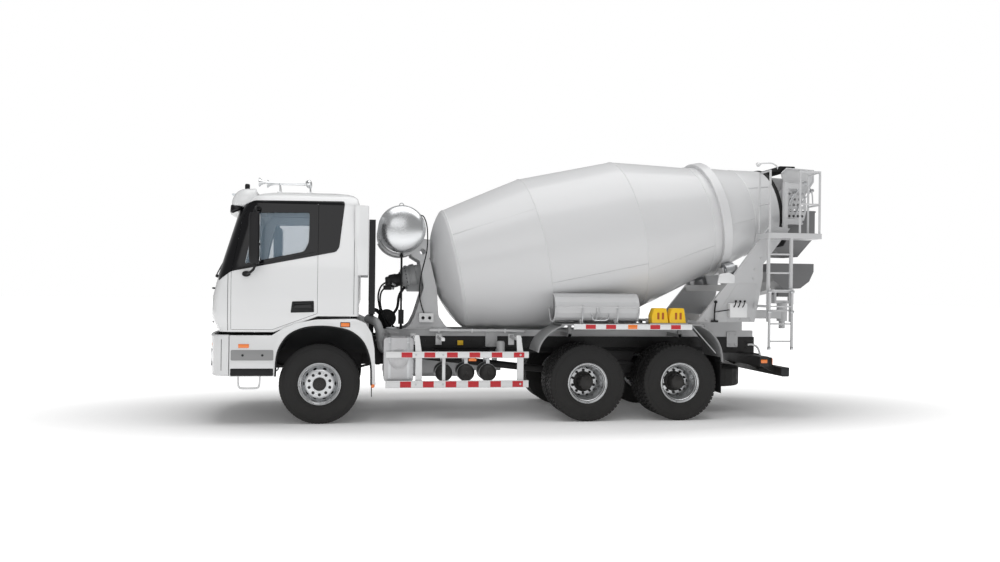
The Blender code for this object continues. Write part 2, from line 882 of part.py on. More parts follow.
water = lathe(
    (1.121, 0, 2.739),
    (0, 1, 0),
    [
        (0, -1.00),
        (0.17, -0.98),
        (0.29, -0.93),
        (0.34, -0.86),
        (0.34, 0.86),
        (0.29, 0.93),
        (0.17, 0.98),
        (0, 1.00),
    ],
    32,
)
node("water_tank", water, "white")

front_stand = None
for side in (-1, 1):
    ya = side * 0.35
    yb = side * 0.42
    y0 = min(ya, yb)
    y1 = max(ya, yb)
    leg = prism("y", [(1.19, SUB_Z1 + GAP), (1.66, SUB_Z1 + GAP), (1.60, 1.82), (1.30, 1.82)], y0, y1)
    front_stand = fuse(front_stand, leg) if front_stand else leg
front_stand = fuse(front_stand, box(1.20, 1.60, -0.46, 0.46, 1.76, 1.84))
for side in (-1, 1):
    ya = side * 0.39
    yb = side * 0.455
    y0 = min(ya, yb)
    y1 = max(ya, yb)
    post = prism("y", [(1.21, 1.77), (1.33, 1.77), (1.33, 2.52), (0.98, 2.52), (1.21, 2.30)], y0, y1)
    front_stand = fuse(front_stand, post)
front_stand = cut(front_stand, rod((1.121, -1.2, 2.739), (1.121, 1.2, 2.739), 0.34 + 2 * GAP, 32))
node("front_pedestal", front_stand, "grey")

# ---------------------------------------------------------------- rear pedestal
ring_mid = along(RING_S)
reach = RING_R + ROLLER_R + 0.0008


def roller_mid(side):
    lateral = reach * math.sin(ROLLER_ANGLE)
    drop = reach * math.cos(ROLLER_ANGLE)
    return ring_mid + DOWN * drop + Vector((0, side * lateral, 0))


PLATE_Y0 = 0.76
PLATE_Y1 = 0.82
stand_parts = []
for side in (-1, 1):
    plate = prism(
        "y",
        [
            (5.60, 1.43),
            (6.53, 1.43),
            (6.655, 2.10),
            (6.66, 2.32),
            (7.10, 2.88),
            (6.78, 2.92),
            (6.42, 2.45),
            (6.17, 2.12),
        ],
        side * PLATE_Y0,
        side * PLATE_Y1,
    )
    upright = box(7.00, 7.06, min(side * PLATE_Y0, side * PLATE_Y1), max(side * PLATE_Y0, side * PLATE_Y1), 2.75, 3.60)
    stand_parts += [plate, upright]
    for z, reach_in in ((3.50, 0.50), (2.95, 0.56)):
        ya = side * (reach_in + GAP)
        yb = side * (PLATE_Y0 + 0.03)
        yc = side * PLATE_Y0
        yd = side * PLATE_Y1
        stand_parts.append(box(7.02, 7.30, min(yc, yd), max(yc, yd), z, z + 0.08))
        stand_parts.append(box(7.22, 7.29, min(ya, yb), max(ya, yb), z + 0.01, z + 0.07))
stand_parts.append(box(6.05, 6.42, -0.80, 0.80, 1.90, 2.00))
stand_parts.append(box(6.38, 6.50, -0.80, 0.80, 1.44, 1.62))
stand_parts.append(box(5.64, 5.76, -0.80, 0.80, 1.44, 1.54))
for side in (-1, 1):
    ya = side * 0.35
    yb = side * 0.42
    y0 = min(ya, yb)
    y1 = max(ya, yb)
    stand_parts.append(box(5.62, 6.52, y0, y1, SUB_Z1 + GAP, 1.47))
rear_stand = fuse(*stand_parts)
for side in (-1, 1):
    for end in (-1, 1):
        lug = box(-0.08, 0.08, -0.30, 0.07, -0.012, 0.012)
        turn = Matrix((tuple(Vector((0, 1, 0))), tuple(-DOWN), tuple(AXIS))).transposed()
        lug.data.transform(turn.to_4x4())
        if turn.determinant() < 0:
            lug.data.flip_normals()
        lug.data.transform(Matrix.Translation(roller_mid(side) + AXIS * end * 0.115))
        rear_stand = fuse(rear_stand, lug)
for side in (-1, 1):
    start = roller_mid(side) - AXIS * 0.3
    end = roller_mid(side) + AXIS * 0.3
    rear_stand = cut(rear_stand, rod(start, end, 0.0305, 24))
rear_stand = fuse(rear_stand, box(6.45, CHUTE_X - 0.05, -0.07, 0.07, 1.46, 1.60))
rear_stand = fuse(rear_stand, rod((CHUTE_X, 0, 1.42), (CHUTE_X, 0, 1.66), 0.085, 24))
rear_stand = cut(rear_stand, rod((CHUTE_X, 0, 1.2), (CHUTE_X, 0, 1.9), 0.0508, 32))
node("rear_pedestal", rear_stand, "grey")

for label, side in (("left", -1), ("right", 1)):
    profile = [
        (0, -0.128),
        (0.0300, -0.128),
        (0.0300, -0.075),
        (ROLLER_R, -0.075),
        (ROLLER_R, 0.075),
        (0.0300, 0.075),
        (0.0300, 0.128),
        (0, 0.128),
    ]
    roller = lathe(roller_mid(side), AXIS, profile, 32)
    node("drum_roller_" + label, roller, "steel", roller_mid(side))

# ------------------------------------------------------- hopper, funnel, chutes
throat = [
    (7.115, 3.78),
    (7.20, 3.86),
    (7.66, 3.84),
    (7.66, 3.66),
    (7.36, 3.22),
    (7.245, 3.22),
]
inner_throat = [
    (7.00, 3.80),
    (7.10, 3.98),
    (7.64, 3.98),
    (7.64, 3.667),
    (7.35, 3.24),
    (7.10, 3.24),
]
hopper = prism("y", throat, -0.50, 0.50)
hopper = cut(hopper, prism("y", inner_throat, -0.48, 0.48))
node("hopper", hopper, "white")

outline = [
    (7.125, 3.19),
    (7.66, 3.19),
    (7.66, 2.75),
    (7.56, 2.47),
    (7.28, 2.47),
    (7.07, 2.60),
    (7.225, 2.635),
    (7.23, 2.70),
]
hollow = [
    (6.90, 3.30),
    (7.64, 3.30),
    (7.64, 2.754),
    (7.54, 2.40),
    (7.30, 2.40),
    (7.30, 2.482),
    (7.095, 2.609),
    (6.90, 2.609),
]
funnel = common(
    prism("y", outline, -0.56, 0.56),
    prism("x", [(-0.56, 3.25), (0.56, 3.25), (0.56, 2.80), (0.22, 2.47), (0.22, 2.40), (-0.22, 2.40), (-0.22, 2.47), (-0.56, 2.80)], 6.9, 7.9),
)
core = common(
    prism("y", hollow, -0.54, 0.54),
    prism("x", [(-0.54, 3.35), (0.54, 3.35), (0.54, 2.808), (0.20, 2.478), (0.20, 2.35), (-0.20, 2.35), (-0.20, 2.478), (-0.54, 2.808)], 6.8, 7.9),
)
funnel = cut(funnel, core)
node("discharge_funnel", funnel, "grey")

bracket = rod((CHUTE_X, 0, 1.30), (CHUTE_X, 0, 1.74), 0.05, 32)
bracket = fuse(bracket, rod((CHUTE_X, 0, 1.66 + GAP), (CHUTE_X, 0, 1.72), 0.085, 24))
bracket = fuse(bracket, box(CHUTE_X - 0.16, CHUTE_X + 0.16, -0.06, 0.06, 1.71, 1.76))
for side in (-1, 1):
    x0 = CHUTE_X + side * 0.145
    bracket = fuse(bracket, box(x0 - 0.018, x0 + 0.018, -0.055, 0.055, 1.72, CHUTE_Z + 0.03))
bracket = cut(bracket, rod((CHUTE_X - 0.3, 0, CHUTE_Z), (CHUTE_X + 0.3, 0, CHUTE_Z), 0.0205, 24))
node("chute_bracket", bracket, "black", (CHUTE_X, 0, 1.66))


def trough(y, half, top, deep, slope_z):
    shape = [(-1, 0), (-1, -0.32), (-0.80, -0.72), (-0.40, -1), (0.40, -1), (0.80, -0.72), (1, -0.32), (1, 0)]
    return [(CHUTE_X + half * u, y, top + slope_z + deep * v) for u, v in shape]


chute = loft([trough(-0.30, 0.38, 2.36, 0.40, 0), trough(0.15, 0.38, 2.36, 0.40, -0.02), trough(1.12, 0.27, 2.36, 0.30, -0.24)])
void = loft([trough(-0.28, 0.36, 2.40, 0.42, 0), trough(0.15, 0.36, 2.40, 0.42, -0.02), trough(1.20, 0.25, 2.40, 0.32, -0.26)])
chute = cut(chute, void)
chute = fuse(chute, box(CHUTE_X - 0.10, CHUTE_X + 0.10, -0.05, 0.05, CHUTE_Z - 0.05, 1.97))
chute = fuse(chute, rod((CHUTE_X - 0.17, 0, CHUTE_Z), (CHUTE_X + 0.17, 0, CHUTE_Z), 0.020, 24))
node("main_chute", chute, "grey", (CHUTE_X, 0, CHUTE_Z))

arc = []
for i in range(9):
    ang = math.radians(90 + 22.5 * i)
    arc.append((-1.03 + 0.205 * math.cos(ang), 1.64 + 0.205 * math.sin(ang)))
for i in range(9):
    ang = math.radians(270 - 22.5 * i)
    arc.append((-1.03 + 0.19 * math.cos(ang), 1.64 + 0.19 * math.sin(ang)))
spout = prism("x", arc, 3.30, 4.55)
for x in (3.70, 4.22):
    spout = fuse(spout, box(x - 0.02, x + 0.02, -1.15, -1.03, 1.40 + GAP, 1.47))
    spout = fuse(spout, box(x - 0.02, x + 0.02, -1.06, -1.02, 1.43, 1.52))
node("extension_chute", spout, "grey")

RAIL_FACE = -PLATE_Y1 - GAP
deck = box(6.55, 7.40, -1.20, RAIL_FACE, 2.70, 2.78)
deck = fuse(
    deck,
    box(6.54, 6.58, -1.20, -1.16, 1.45, 2.72),
    box(6.90, 6.94, -1.20, -1.16, 1.45, 2.72),
    box(6.55, 6.57, -1.18, RAIL_FACE, 1.66, 1.70),
    box(6.51, 6.56, -0.86, RAIL_FACE, 1.64, 1.72),
)
for z in (1.62, 1.90, 2.18, 2.46):
    deck = fuse(deck, rod((6.56, -1.18, z), (6.92, -1.18, z), 0.013, 8))
for x, y in ((6.58, -1.175), (7.06, -1.175), (7.375, -1.175), (7.375, -0.85), (6.58, -0.85)):
    deck = fuse(deck, rod((x, y, 2.75), (x, y, 3.72), 0.017, 8))
deck = fuse(deck, rod((7.06, -1.175, 3.71), (7.375, -1.175, 3.71), 0.014, 8))
deck = fuse(deck, rod((7.06, -1.175, 3.22), (7.375, -1.175, 3.22), 0.013, 8))
deck = fuse(deck, rod((7.375, -1.175, 3.705), (7.375, -0.85, 3.705), 0.0135, 8))
deck = fuse(deck, rod((7.375, -1.175, 3.215), (7.375, -0.85, 3.215), 0.0135, 8))
deck = fuse(deck, rod((6.58, -1.175, 3.71), (6.58, -0.85, 3.71), 0.014, 8))
deck = fuse(deck, rod((6.58, -1.175, 3.22), (6.58, -0.85, 3.22), 0.013, 8))
node("ladder_platform", deck, "steel")

steps = fuse(
    box(6.545, 6.575, -1.235, -1.206, 1.07, 1.95),
    box(6.905, 6.935, -1.235, -1.206, 1.07, 1.95),
)
for z in (1.16, 1.42, 1.68, 1.92):
    steps = fuse(steps, rod((6.56, -1.220, z), (6.92, -1.220, z), 0.012, 8))
for x in (6.56, 6.92):
    for z in (1.52, 1.86):
        steps = fuse(steps, box(x - 0.010, x + 0.010, -1.22, -1.20 - GAP, z, z + 0.05))
node("ladder_lower", steps, "steel", (6.74, -1.22, 1.90))


# ------------------------------------------------------------------------ cab
LEVELS = [
    (1.27, -1.450, 0.52, 1.200),
    (1.45, -1.550, 0.52, 1.225),
    (1.75, -1.530, 0.52, 1.230),
    (2.00, -1.470, 0.52, 1.230),
    (2.17, -1.420, 0.52, 1.225),
    (2.92, -1.200, 0.52, 1.150),
    (3.05, -1.120, 0.52, 1.130),
    (3.14, -1.030, 0.49, 1.080),
    (3.20, -0.880, 0.40, 0.980),
    (3.23, -0.600, 0.20, 0.700),
]


def level(z, front, rear, half, shrink):
    f = front + shrink
    r = rear - shrink
    w = half - shrink
    side = [
        (f + 0.015, 0.35 * w),
        (f + 0.045, 0.65 * w),
        (f + 0.090, 0.86 * w),
        (f + 0.160, 0.97 * w),
        (f + 0.290, w),
        (r - 0.060, w),
        (r, w - 0.060),
    ]
    ring = [(f, 0.0)] + side + [(x, -y) for x, y in reversed(side)]
    return [(x, y, z) for x, y in ring]


def cab_hull(shrink):
    rings = []
    for i, (z, front, rear, half) in enumerate(LEVELS):
        lift = shrink if z < 1.3 else (-shrink if z > 3.1 else 0)
        rings.append(level(z + lift, front, rear, half, shrink))
    hull = loft(rings)
    low = 1.20
    under = [(-0.62, low), (-0.62, CAB_SPLIT + shrink), (-0.03, 1.49 + shrink), (0.80, 1.49 + shrink), (0.80, low)]
    return cut(hull, prism("y", under, -1.4, 1.4))


DOOR = [
    (-1.185, 1.30),
    (-1.185, 2.06),
    (-1.060, 2.80),
    (-0.950, 3.035),
    (-0.035, 3.035),
    (-0.035, 1.525),
    (-0.600, 1.315),
    (-0.640, 1.30),
]
PANE = [(-1.030, 2.175), (-0.860, 2.910), (-0.140, 2.930), (-0.140, 2.345), (-0.560, 2.240)]
SCREEN = [(-1.04, 2.10), (1.04, 2.10), (0.95, 2.92), (-0.95, 2.92)]

shell = cut(cab_hull(0), cab_hull(CAB_WALL))


FLOOR_EDGE = HALF_W - 0.08
FLOOR = [(-1.60, 1.00), (-1.60, 1.34), (-0.62, 1.34), (-0.03, 1.56), (0.40, 1.56), (0.40, 1.00)]


def door_cutter(margin, side):
    """The doorway's outline through one side wall, without the cab's floor."""
    y = [side * 0.96, side * 1.50]
    slab = prism("y", inset(DOOR, margin), min(y), max(y))
    y = [side * 0.90, side * (FLOOR_EDGE + margin)]
    return cut(slab, prism("y", FLOOR, min(y), max(y)))


left_door = common(copy(shell), door_cutter(CLEAR, -1))
left_door = cut(left_door, prism("y", PANE, -1.50, -0.90))
left_door = cut(left_door, box(-0.045, 0.0, -1.5, -0.9, 1.3, 3.1))
right_door = mirror(left_door)
node("door_left", left_door, "white", (-1.19, -1.245, 2.0))
node("door_right", right_door, "white", (-1.19, 1.245, 2.0))

left_pane = cut(cab_hull(0.020), cab_hull(0.028))
screen = copy(left_pane)
left_pane = common(left_pane, prism("y", inset(PANE, GAP), -1.50, -0.90))
right_pane = mirror(left_pane)
node("door_glass_left", left_pane, "glass")
node("door_glass_right", right_pane, "glass")
screen = common(screen, prism("x", inset(SCREEN, GAP), -1.7, -0.95))
node("windscreen", screen, "glass")

shell = cut(shell, door_cutter(0, -1), door_cutter(0, 1))
shell = cut(shell, prism("x", SCREEN, -1.7, -0.95))
roof = common(copy(shell), box(-2, 1, -2, 2, ROOF_SPLIT + GAP, 4))
node("cab_roof", roof, "white")
shell = cut(shell, box(-2, 1, -2, 2, ROOF_SPLIT, 4))
for side in (-1, 1):
    ya = side * 0.426
    yb = side * 0.456
    y0 = min(ya, yb)
    y1 = max(ya, yb)
    arm = prism("y", [(-1.465, 1.175), (-1.415, 1.175), (-1.20, 1.28), (-1.20, 1.30), (-1.40, 1.30), (-1.465, 1.225)], y0, y1)
    shell = fuse(shell, arm)
shell = fuse(shell, rod((PIVOT_X, -0.45, PIVOT_Z), (PIVOT_X, 0.45, PIVOT_Z), 0.0195, 24))
for side in (-1, 1):
    spoiler = prism(
        "z",
        [(0.46, side * 1.195), (0.52, side * 1.195), (0.655, side * 1.135), (0.655, side * 1.110), (0.50, side * 1.155), (0.46, side * 1.155)],
        2.02,
        2.98,
    )
    shell = fuse(shell, spoiler)
node("cab_shell", shell, "white")


def seat(y):
    base = box(-0.50, -0.12, y - 0.15, y + 0.15, 1.32, 1.80)
    floor = CAB_WALL + 2 * GAP
    wedge = [(-0.62, CAB_SPLIT + floor), (-0.03, 1.49 + floor), (0.3, 1.49 + floor), (0.3, 1.0), (-0.62, 1.0)]
    base = cut(base, prism("y", wedge, -2, 2))
    cushion = prism("y", [(-0.62, 1.80), (-0.60, 1.92), (-0.10, 1.88), (-0.10, 1.78), (-0.58, 1.78)], y - 0.25, y + 0.25)
    rest = prism("y", [(-0.16, 1.80), (-0.06, 1.80), (0.12, 2.62), (0.02, 2.64), (-0.10, 2.20)], y - 0.24, y + 0.24)
    return fuse(base, cushion, rest)


node("driver_seat", seat(-0.62), "seat")
node("passenger_seat", seat(0.62), "seat")

dash = prism("y", [(-1.28, 1.70), (-1.28, 2.02), (-1.16, 2.08), (-0.98, 2.02), (-0.96, 1.80), (-1.10, 1.70)], -1.02, 1.02)
dash = fuse(dash, box(-1.25, -1.00, -0.16, 0.16, CAB_SPLIT + CAB_WALL + GAP, 1.75))
dash = fuse(dash, rod((-1.08, -0.62, 1.98), (-0.935, -0.62, 2.095), 0.03, 12))
node("dashboard", dash, "dark")

WHEEL_AT = Vector((-0.92, -0.62, 2.107))
COLUMN = Vector((-0.145, 0, -0.115)).normalized()
rim = lathe(WHEEL_AT, COLUMN, [(0.225, 0.0), (0.216, 0.016), (0.196, 0.016), (0.187, 0.0), (0.196, -0.016), (0.216, -0.016)], 28)
hub = lathe(WHEEL_AT, COLUMN, [(0, -0.018), (0.05, -0.018), (0.05, 0.0185), (0, 0.0185)], 16)
rim = fuse(rim, hub)
spoke = box(-0.205, 0.205, -0.022, 0.022, -0.008, 0.008)
turned = Matrix((tuple(Vector((0, 1, 0))), tuple(COLUMN.cross(Vector((0, 1, 0)))), tuple(COLUMN))).transposed()
spoke.data.transform(turned.to_4x4())
spoke.data.transform(Matrix.Translation(WHEEL_AT))
if turned.determinant() < 0:
    spoke.data.flip_normals()
rim = fuse(rim, spoke)
node("steering_wheel", rim, "dark", WHEEL_AT)


def mirror_unit():
    housing = prism("z", [(-0.935, -1.335), (-0.80, -1.335), (-0.775, -1.345), (-0.775, -1.515), (-0.80, -1.525), (-0.93, -1.50)], 2.19, 2.87)
    pad_low = box(-1.03, -0.97, -1.27, -1.2296, 2.03, 2.09)
    pad_top = box(-0.875, -0.815, -1.19, -1.1486, 2.935, 2.975)
    arm_low = pipe([(-1.00, -1.25, 2.06), (-0.97, -1.32, 2.06), (-0.86, -1.42, 2.10), (-0.86, -1.42, 2.30)], 0.016, 8)
    arm_top = pipe([(-0.845, -1.17, 2.955), (-0.85, -1.24, 2.96), (-0.86, -1.42, 2.93), (-0.86, -1.42, 2.70)], 0.016, 8)
    return fuse(housing, arm_low, arm_top, pad_low, pad_top)


left_mirror = mirror_unit()
right_mirror = mirror(left_mirror)
node("mirror_left", left_mirror, "black")
node("mirror_right", right_mirror, "black")
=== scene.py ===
# %% [markdown]
# # A concrete mixer truck
# The CAD frame gives every body, joint and size. This lesson dresses that frame: it keeps the
# CAD boxes as the ruler, builds each visible part again with rounder forms and finer detail,
# and gives every part a finish. X runs to the rear, the left side is -Y and Z is up.

import math

import bmesh
import bpy
from mathutils import Matrix, Vector
from mathutils.bvhtree import BVHTree


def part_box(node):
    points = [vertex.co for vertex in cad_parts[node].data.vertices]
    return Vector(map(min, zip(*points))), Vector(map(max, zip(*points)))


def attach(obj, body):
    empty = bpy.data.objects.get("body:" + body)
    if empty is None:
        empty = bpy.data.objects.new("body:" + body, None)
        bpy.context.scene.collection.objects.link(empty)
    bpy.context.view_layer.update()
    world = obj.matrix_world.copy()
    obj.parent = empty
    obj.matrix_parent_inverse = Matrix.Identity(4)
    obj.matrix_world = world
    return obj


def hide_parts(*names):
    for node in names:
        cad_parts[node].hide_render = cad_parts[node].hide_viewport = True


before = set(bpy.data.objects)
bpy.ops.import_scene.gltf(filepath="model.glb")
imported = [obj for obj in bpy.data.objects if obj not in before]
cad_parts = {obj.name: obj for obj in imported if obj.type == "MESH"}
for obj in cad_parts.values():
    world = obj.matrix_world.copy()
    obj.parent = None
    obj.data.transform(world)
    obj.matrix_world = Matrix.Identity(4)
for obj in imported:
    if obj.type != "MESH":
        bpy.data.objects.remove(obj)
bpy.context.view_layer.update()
tyre_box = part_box("front_tyre_left")
AXLE = (tyre_box[0][0] + tyre_box[1][0]) / 2
TYRE_R = tyre_box[1][2] / 2
print("front axle at", round(AXLE, 4), "tyre radius", round(TYRE_R, 4))

# %% [markdown]
# ## Camera and studio
# A long side view with the camera at chest height. A small shift of the lens keeps the upright
# edges upright. The floor is one pale sheet that runs far past the truck, a large soft panel hangs
# above it and a weaker one stands behind the camera, so that the top of the drum is bright and its
# belly falls off softly. The floor also glows by itself, faintly near the truck and strongly far
# away: painted light that keeps the far floor white and the shade under the truck dark.


# %% Place the camera
def look(name, place, heading, pitch, roll, lens, shift):
    """A camera whose view runs along heading (radians from +Y towards +X) and rises by pitch."""
    ahead = Vector((math.sin(heading) * math.cos(pitch), math.cos(heading) * math.cos(pitch),
        math.sin(pitch)))
    right = Vector((math.cos(heading), -math.sin(heading), 0))
    up = right.cross(ahead)
    right_rolled = right * math.cos(roll) + up * math.sin(roll)
    up_rolled = up * math.cos(roll) - right * math.sin(roll)
    data = bpy.data.cameras.new(name)
    data.lens = lens
    data.sensor_width = 36
    data.sensor_fit = "HORIZONTAL"
    data.shift_x, data.shift_y = shift
    data.clip_end = 400
    camera = bpy.data.objects.new(name, data)
    bpy.context.scene.collection.objects.link(camera)
    turn = Matrix((right_rolled, up_rolled, -ahead)).transposed().to_4x4()
    camera.matrix_world = Matrix.Translation(place) @ turn
    bpy.context.scene.camera = camera
    return camera


look("camera", (-2.4729, -12.5401, 1.8713), 0.1449, 0.0009, 0.0114, 29.16, (0.01416, 0.00859))


# %% Build the studio
def panel_light(name, place, target, size, power):
    """A soft rectangular light that faces its target."""
    data = bpy.data.lights.new(name, "AREA")
    data.shape = "RECTANGLE"
    data.size, data.size_y = size
    data.energy = power
    light = bpy.data.objects.new(name, data)
    bpy.context.scene.collection.objects.link(light)
    light.location = place
    light.rotation_euler = (Vector(target) - Vector(place)).to_track_quat("-Z", "Y").to_euler()
    return light


panel_light("top_panel", (0.5, -1.5, 9.5), (0.3, 0, 1.5), (13, 7), 560)
panel_light("side_panel", (-4.0, -13.0, 6.5), (0, 0, 1.6), (8, 5), 150)

world = bpy.data.worlds.new("studio")
bpy.context.scene.world = world
world.use_nodes = True
sky = world.node_tree
sky.nodes["Background"].inputs["Color"].default_value = (1, 1, 1, 1)
sky.nodes["Background"].inputs["Strength"].default_value = 0.34
seen = sky.nodes.new("ShaderNodeBackground")
seen.inputs["Color"].default_value = (1, 1, 1, 1)
seen.inputs["Strength"].default_value = 1.0
blend_sky = sky.nodes.new("ShaderNodeMixShader")
rays = sky.nodes.new("ShaderNodeLightPath")
sky.links.new(rays.outputs["Is Camera Ray"], blend_sky.inputs[0])
sky.links.new(sky.nodes["Background"].outputs[0], blend_sky.inputs[1])
sky.links.new(seen.outputs[0], blend_sky.inputs[2])
sky.links.new(blend_sky.outputs[0], sky.nodes["World Output"].inputs["Surface"])
bpy.context.scene.view_settings.view_transform = "Standard"

floor_mesh = bpy.data.meshes.new("floor")
floor_mesh.from_pydata([(-90, -60, 0), (90, -60, 0), (90, 120, 0), (-90, 120, 0)], [],
    [(0, 1, 2, 3)])
floor = bpy.data.objects.new("floor", floor_mesh)
bpy.context.scene.collection.objects.link(floor)
pale = bpy.data.materials.new("pale_floor")
pale.use_nodes = True
pale.node_tree.nodes["Principled BSDF"].inputs["Base Color"].default_value = (0.93, 0.93, 0.93, 1)
pale.node_tree.nodes["Principled BSDF"].inputs["Roughness"].default_value = 0.9
pale.node_tree.nodes["Principled BSDF"].inputs["Emission Color"].default_value = (1, 1, 1, 1)
# Painted light: the floor's own glow is faint near the truck and grows with distance, so the far floor
# reads white while the shade under the truck stays dark.
ground = pale.node_tree
spot = ground.nodes.new("ShaderNodeTexCoord")
reach = ground.nodes.new("ShaderNodeVectorMath")
reach.operation = "MULTIPLY"
reach.inputs[1].default_value = (0.62, 1.35, 0.0)
away = ground.nodes.new("ShaderNodeVectorMath")
away.operation = "LENGTH"
painted_floor_glow = ground.nodes.new("ShaderNodeMapRange")
for socket, value in zip(list(painted_floor_glow.inputs)[1:5], (2.9, 6.4, 0.07, 0.95)):
    socket.default_value = value
ground.links.new(spot.outputs["Object"], reach.inputs[0])
ground.links.new(reach.outputs[0], away.inputs[0])
ground.links.new(away.outputs["Value"], painted_floor_glow.inputs[0])
ground.links.new(painted_floor_glow.outputs[0], ground.nodes["Principled BSDF"].inputs["Emission Strength"])
floor_mesh.materials.append(pale)

# %% [markdown]
# ## Finishes
# Paint on a truck is never one flat colour: the tone drifts a little from sheet to sheet, the
# gloss changes where hands and water reach it, fine orange peel breaks up the reflections and
# road dust settles low down. One recipe covers all of them. A slow noise drives tone and gloss, a
# fine one drives the bump, and height above the ground brings in the dust. All read Object
# coordinates, which are metres in the truck's own frame.


# %% The recipe for a finish
def finish(name, base, rough, metal=0.0, coat=0.0, drift=0.05, cloud=2.5, peel=0.15, grain=400.0,
    dust=0.0, stretch=(1, 1, 1), turn=0.0):
    """A material with drifting tone and gloss, a fine bump and dust near the ground."""
    mat = bpy.data.materials.new(name)
    mat.use_nodes = True
    nodes = mat.node_tree.nodes
    links = mat.node_tree.links
    shader = nodes["Principled BSDF"]
    shader.inputs["Metallic"].default_value = metal
    shader.inputs["Coat Weight"].default_value = coat
    shader.inputs["Coat Roughness"].default_value = 0.06
    coord = nodes.new("ShaderNodeTexCoord")
    place = nodes.new("ShaderNodeMapping")
    place.inputs["Scale"].default_value = stretch
    place.inputs["Rotation"].default_value = (0, turn, 0)
    links.new(coord.outputs["Object"], place.inputs["Vector"])
    slow = nodes.new("ShaderNodeTexNoise")
    slow.inputs["Scale"].default_value = cloud
    slow.inputs["Detail"].default_value = 7
    slow.inputs["Roughness"].default_value = 0.62
    links.new(place.outputs[0], slow.inputs["Vector"])
    tone = nodes.new("ShaderNodeMix")
    tone.data_type = "RGBA"
    tone.inputs[6].default_value = (*[c * (1 - drift) for c in base], 1)
    tone.inputs[7].default_value = (*[min(1, c * (1 + drift)) for c in base], 1)
    links.new(slow.outputs["Fac"], tone.inputs[0])
    colour = tone.outputs[2]
    gloss = nodes.new("ShaderNodeMapRange")
    gloss.inputs["From Min"].default_value = 0.3
    gloss.inputs["From Max"].default_value = 0.7
    sway = 0.05 if coat else 0.22
    gloss.inputs["To Min"].default_value = max(0.02, rough * (1 - sway))
    gloss.inputs["To Max"].default_value = min(1, rough * (1 + sway))
    links.new(slow.outputs["Fac"], gloss.inputs["Value"])
    links.new(gloss.outputs[0], shader.inputs["Roughness"])
    fine = nodes.new("ShaderNodeTexNoise")
    fine.inputs["Scale"].default_value = grain
    fine.inputs["Detail"].default_value = 3
    links.new(place.outputs[0], fine.inputs["Vector"])
    bump = nodes.new("ShaderNodeBump")
    bump.inputs["Strength"].default_value = peel
    bump.inputs["Distance"].default_value = 0.001
    links.new(fine.outputs["Fac"], bump.inputs["Height"])
    links.new(bump.outputs["Normal"], shader.inputs["Normal"])
    if dust:
        split = nodes.new("ShaderNodeSeparateXYZ")
        links.new(coord.outputs["Object"], split.inputs[0])
        low = nodes.new("ShaderNodeMapRange")
        low.inputs["From Min"].default_value = 0.0
        low.inputs["From Max"].default_value = 1.3
        low.inputs["To Min"].default_value = dust
        low.inputs["To Max"].default_value = 0.0
        links.new(split.outputs["Z"], low.inputs["Value"])
        patch = nodes.new("ShaderNodeMath")
        patch.operation = "MULTIPLY"
        links.new(low.outputs[0], patch.inputs[0])
        links.new(slow.outputs["Fac"], patch.inputs[1])
        dirt = nodes.new("ShaderNodeMix")
        dirt.data_type = "RGBA"
        dirt.inputs[7].default_value = (0.3, 0.28, 0.25, 1)
        links.new(patch.outputs[0], dirt.inputs[0])
        links.new(colour, dirt.inputs[6])
        colour = dirt.outputs[2]
    links.new(colour, shader.inputs["Base Color"])
    return mat


# %% Mix the finishes
TILT = 0.2089
white_paint = finish("white_paint", (0.74, 0.745, 0.75), 0.24, coat=0.5, drift=0.004, cloud=1.3,
    peel=0.05, dust=0.1)
drum_paint = finish("drum_paint", (0.6, 0.603, 0.61), 0.34, coat=0.25, drift=0.03, cloud=2.2,
    peel=0.1, grain=300, stretch=(0.35, 1, 1), turn=TILT)
grey_paint = finish("grey_paint", (0.27, 0.272, 0.275), 0.38, drift=0.06, cloud=3.0, peel=0.2,
    dust=0.12)
pale_grey_paint = finish("pale_grey_paint", (0.52, 0.523, 0.53), 0.36, drift=0.05, cloud=3.0,
    peel=0.18, dust=0.12)
black_paint = finish("black_paint", (0.01, 0.01, 0.011), 0.4, drift=0.3, cloud=4.0, peel=0.25,
    dust=0.25)
gloss_black = finish("gloss_black", (0.004, 0.004, 0.005), 0.12, coat=0.12, drift=0.1, peel=0.03)
black_plastic = finish("black_plastic", (0.01, 0.01, 0.011), 0.5, drift=0.15, cloud=5.0, peel=0.7,
    grain=900)
dark_plastic = finish("dark_plastic", (0.024, 0.025, 0.027), 0.55, drift=0.1, cloud=5.0, peel=0.7,
    grain=900)
rubber = finish("tyre_rubber", (0.012, 0.012, 0.0125), 0.62, drift=0.35, cloud=9.0, peel=0.5,
    grain=500, dust=0.1)
mouth_rubber = finish("mouth_rubber", (0.009, 0.009, 0.0095), 0.7, drift=0.3, cloud=7.0, peel=0.6,
    grain=300)
cast_iron = finish("cast_iron", (0.03, 0.03, 0.032), 0.5, metal=0.4, drift=0.25, cloud=9.0,
    peel=0.8, grain=260, dust=0.2)
gear_paint = finish("gear_paint", (0.36, 0.365, 0.37), 0.42, metal=0.1, drift=0.08, cloud=7.0,
    peel=0.5, grain=260)
rim_silver = finish("rim_silver", (0.66, 0.67, 0.68), 0.3, metal=0.75, drift=0.08, cloud=14.0,
    peel=0.2, dust=0.08)
raw_steel = finish("raw_steel", (0.52, 0.53, 0.54), 0.34, metal=0.85, drift=0.12, cloud=10.0,
    peel=0.35, grain=220, stretch=(1, 1, 3))
tank_metal = finish("tank_metal", (0.6, 0.61, 0.62), 0.26, metal=0.9, drift=0.07, cloud=5.0,
    peel=0.2, grain=160, stretch=(1, 0.15, 1))
box_metal = finish("box_metal", (0.52, 0.52, 0.53), 0.42, metal=0.45, drift=0.1, cloud=6.0,
    peel=0.4, grain=160, dust=0.1)
chrome = finish("chrome", (0.8, 0.81, 0.82), 0.07, metal=1.0, drift=0.02, peel=0.02)
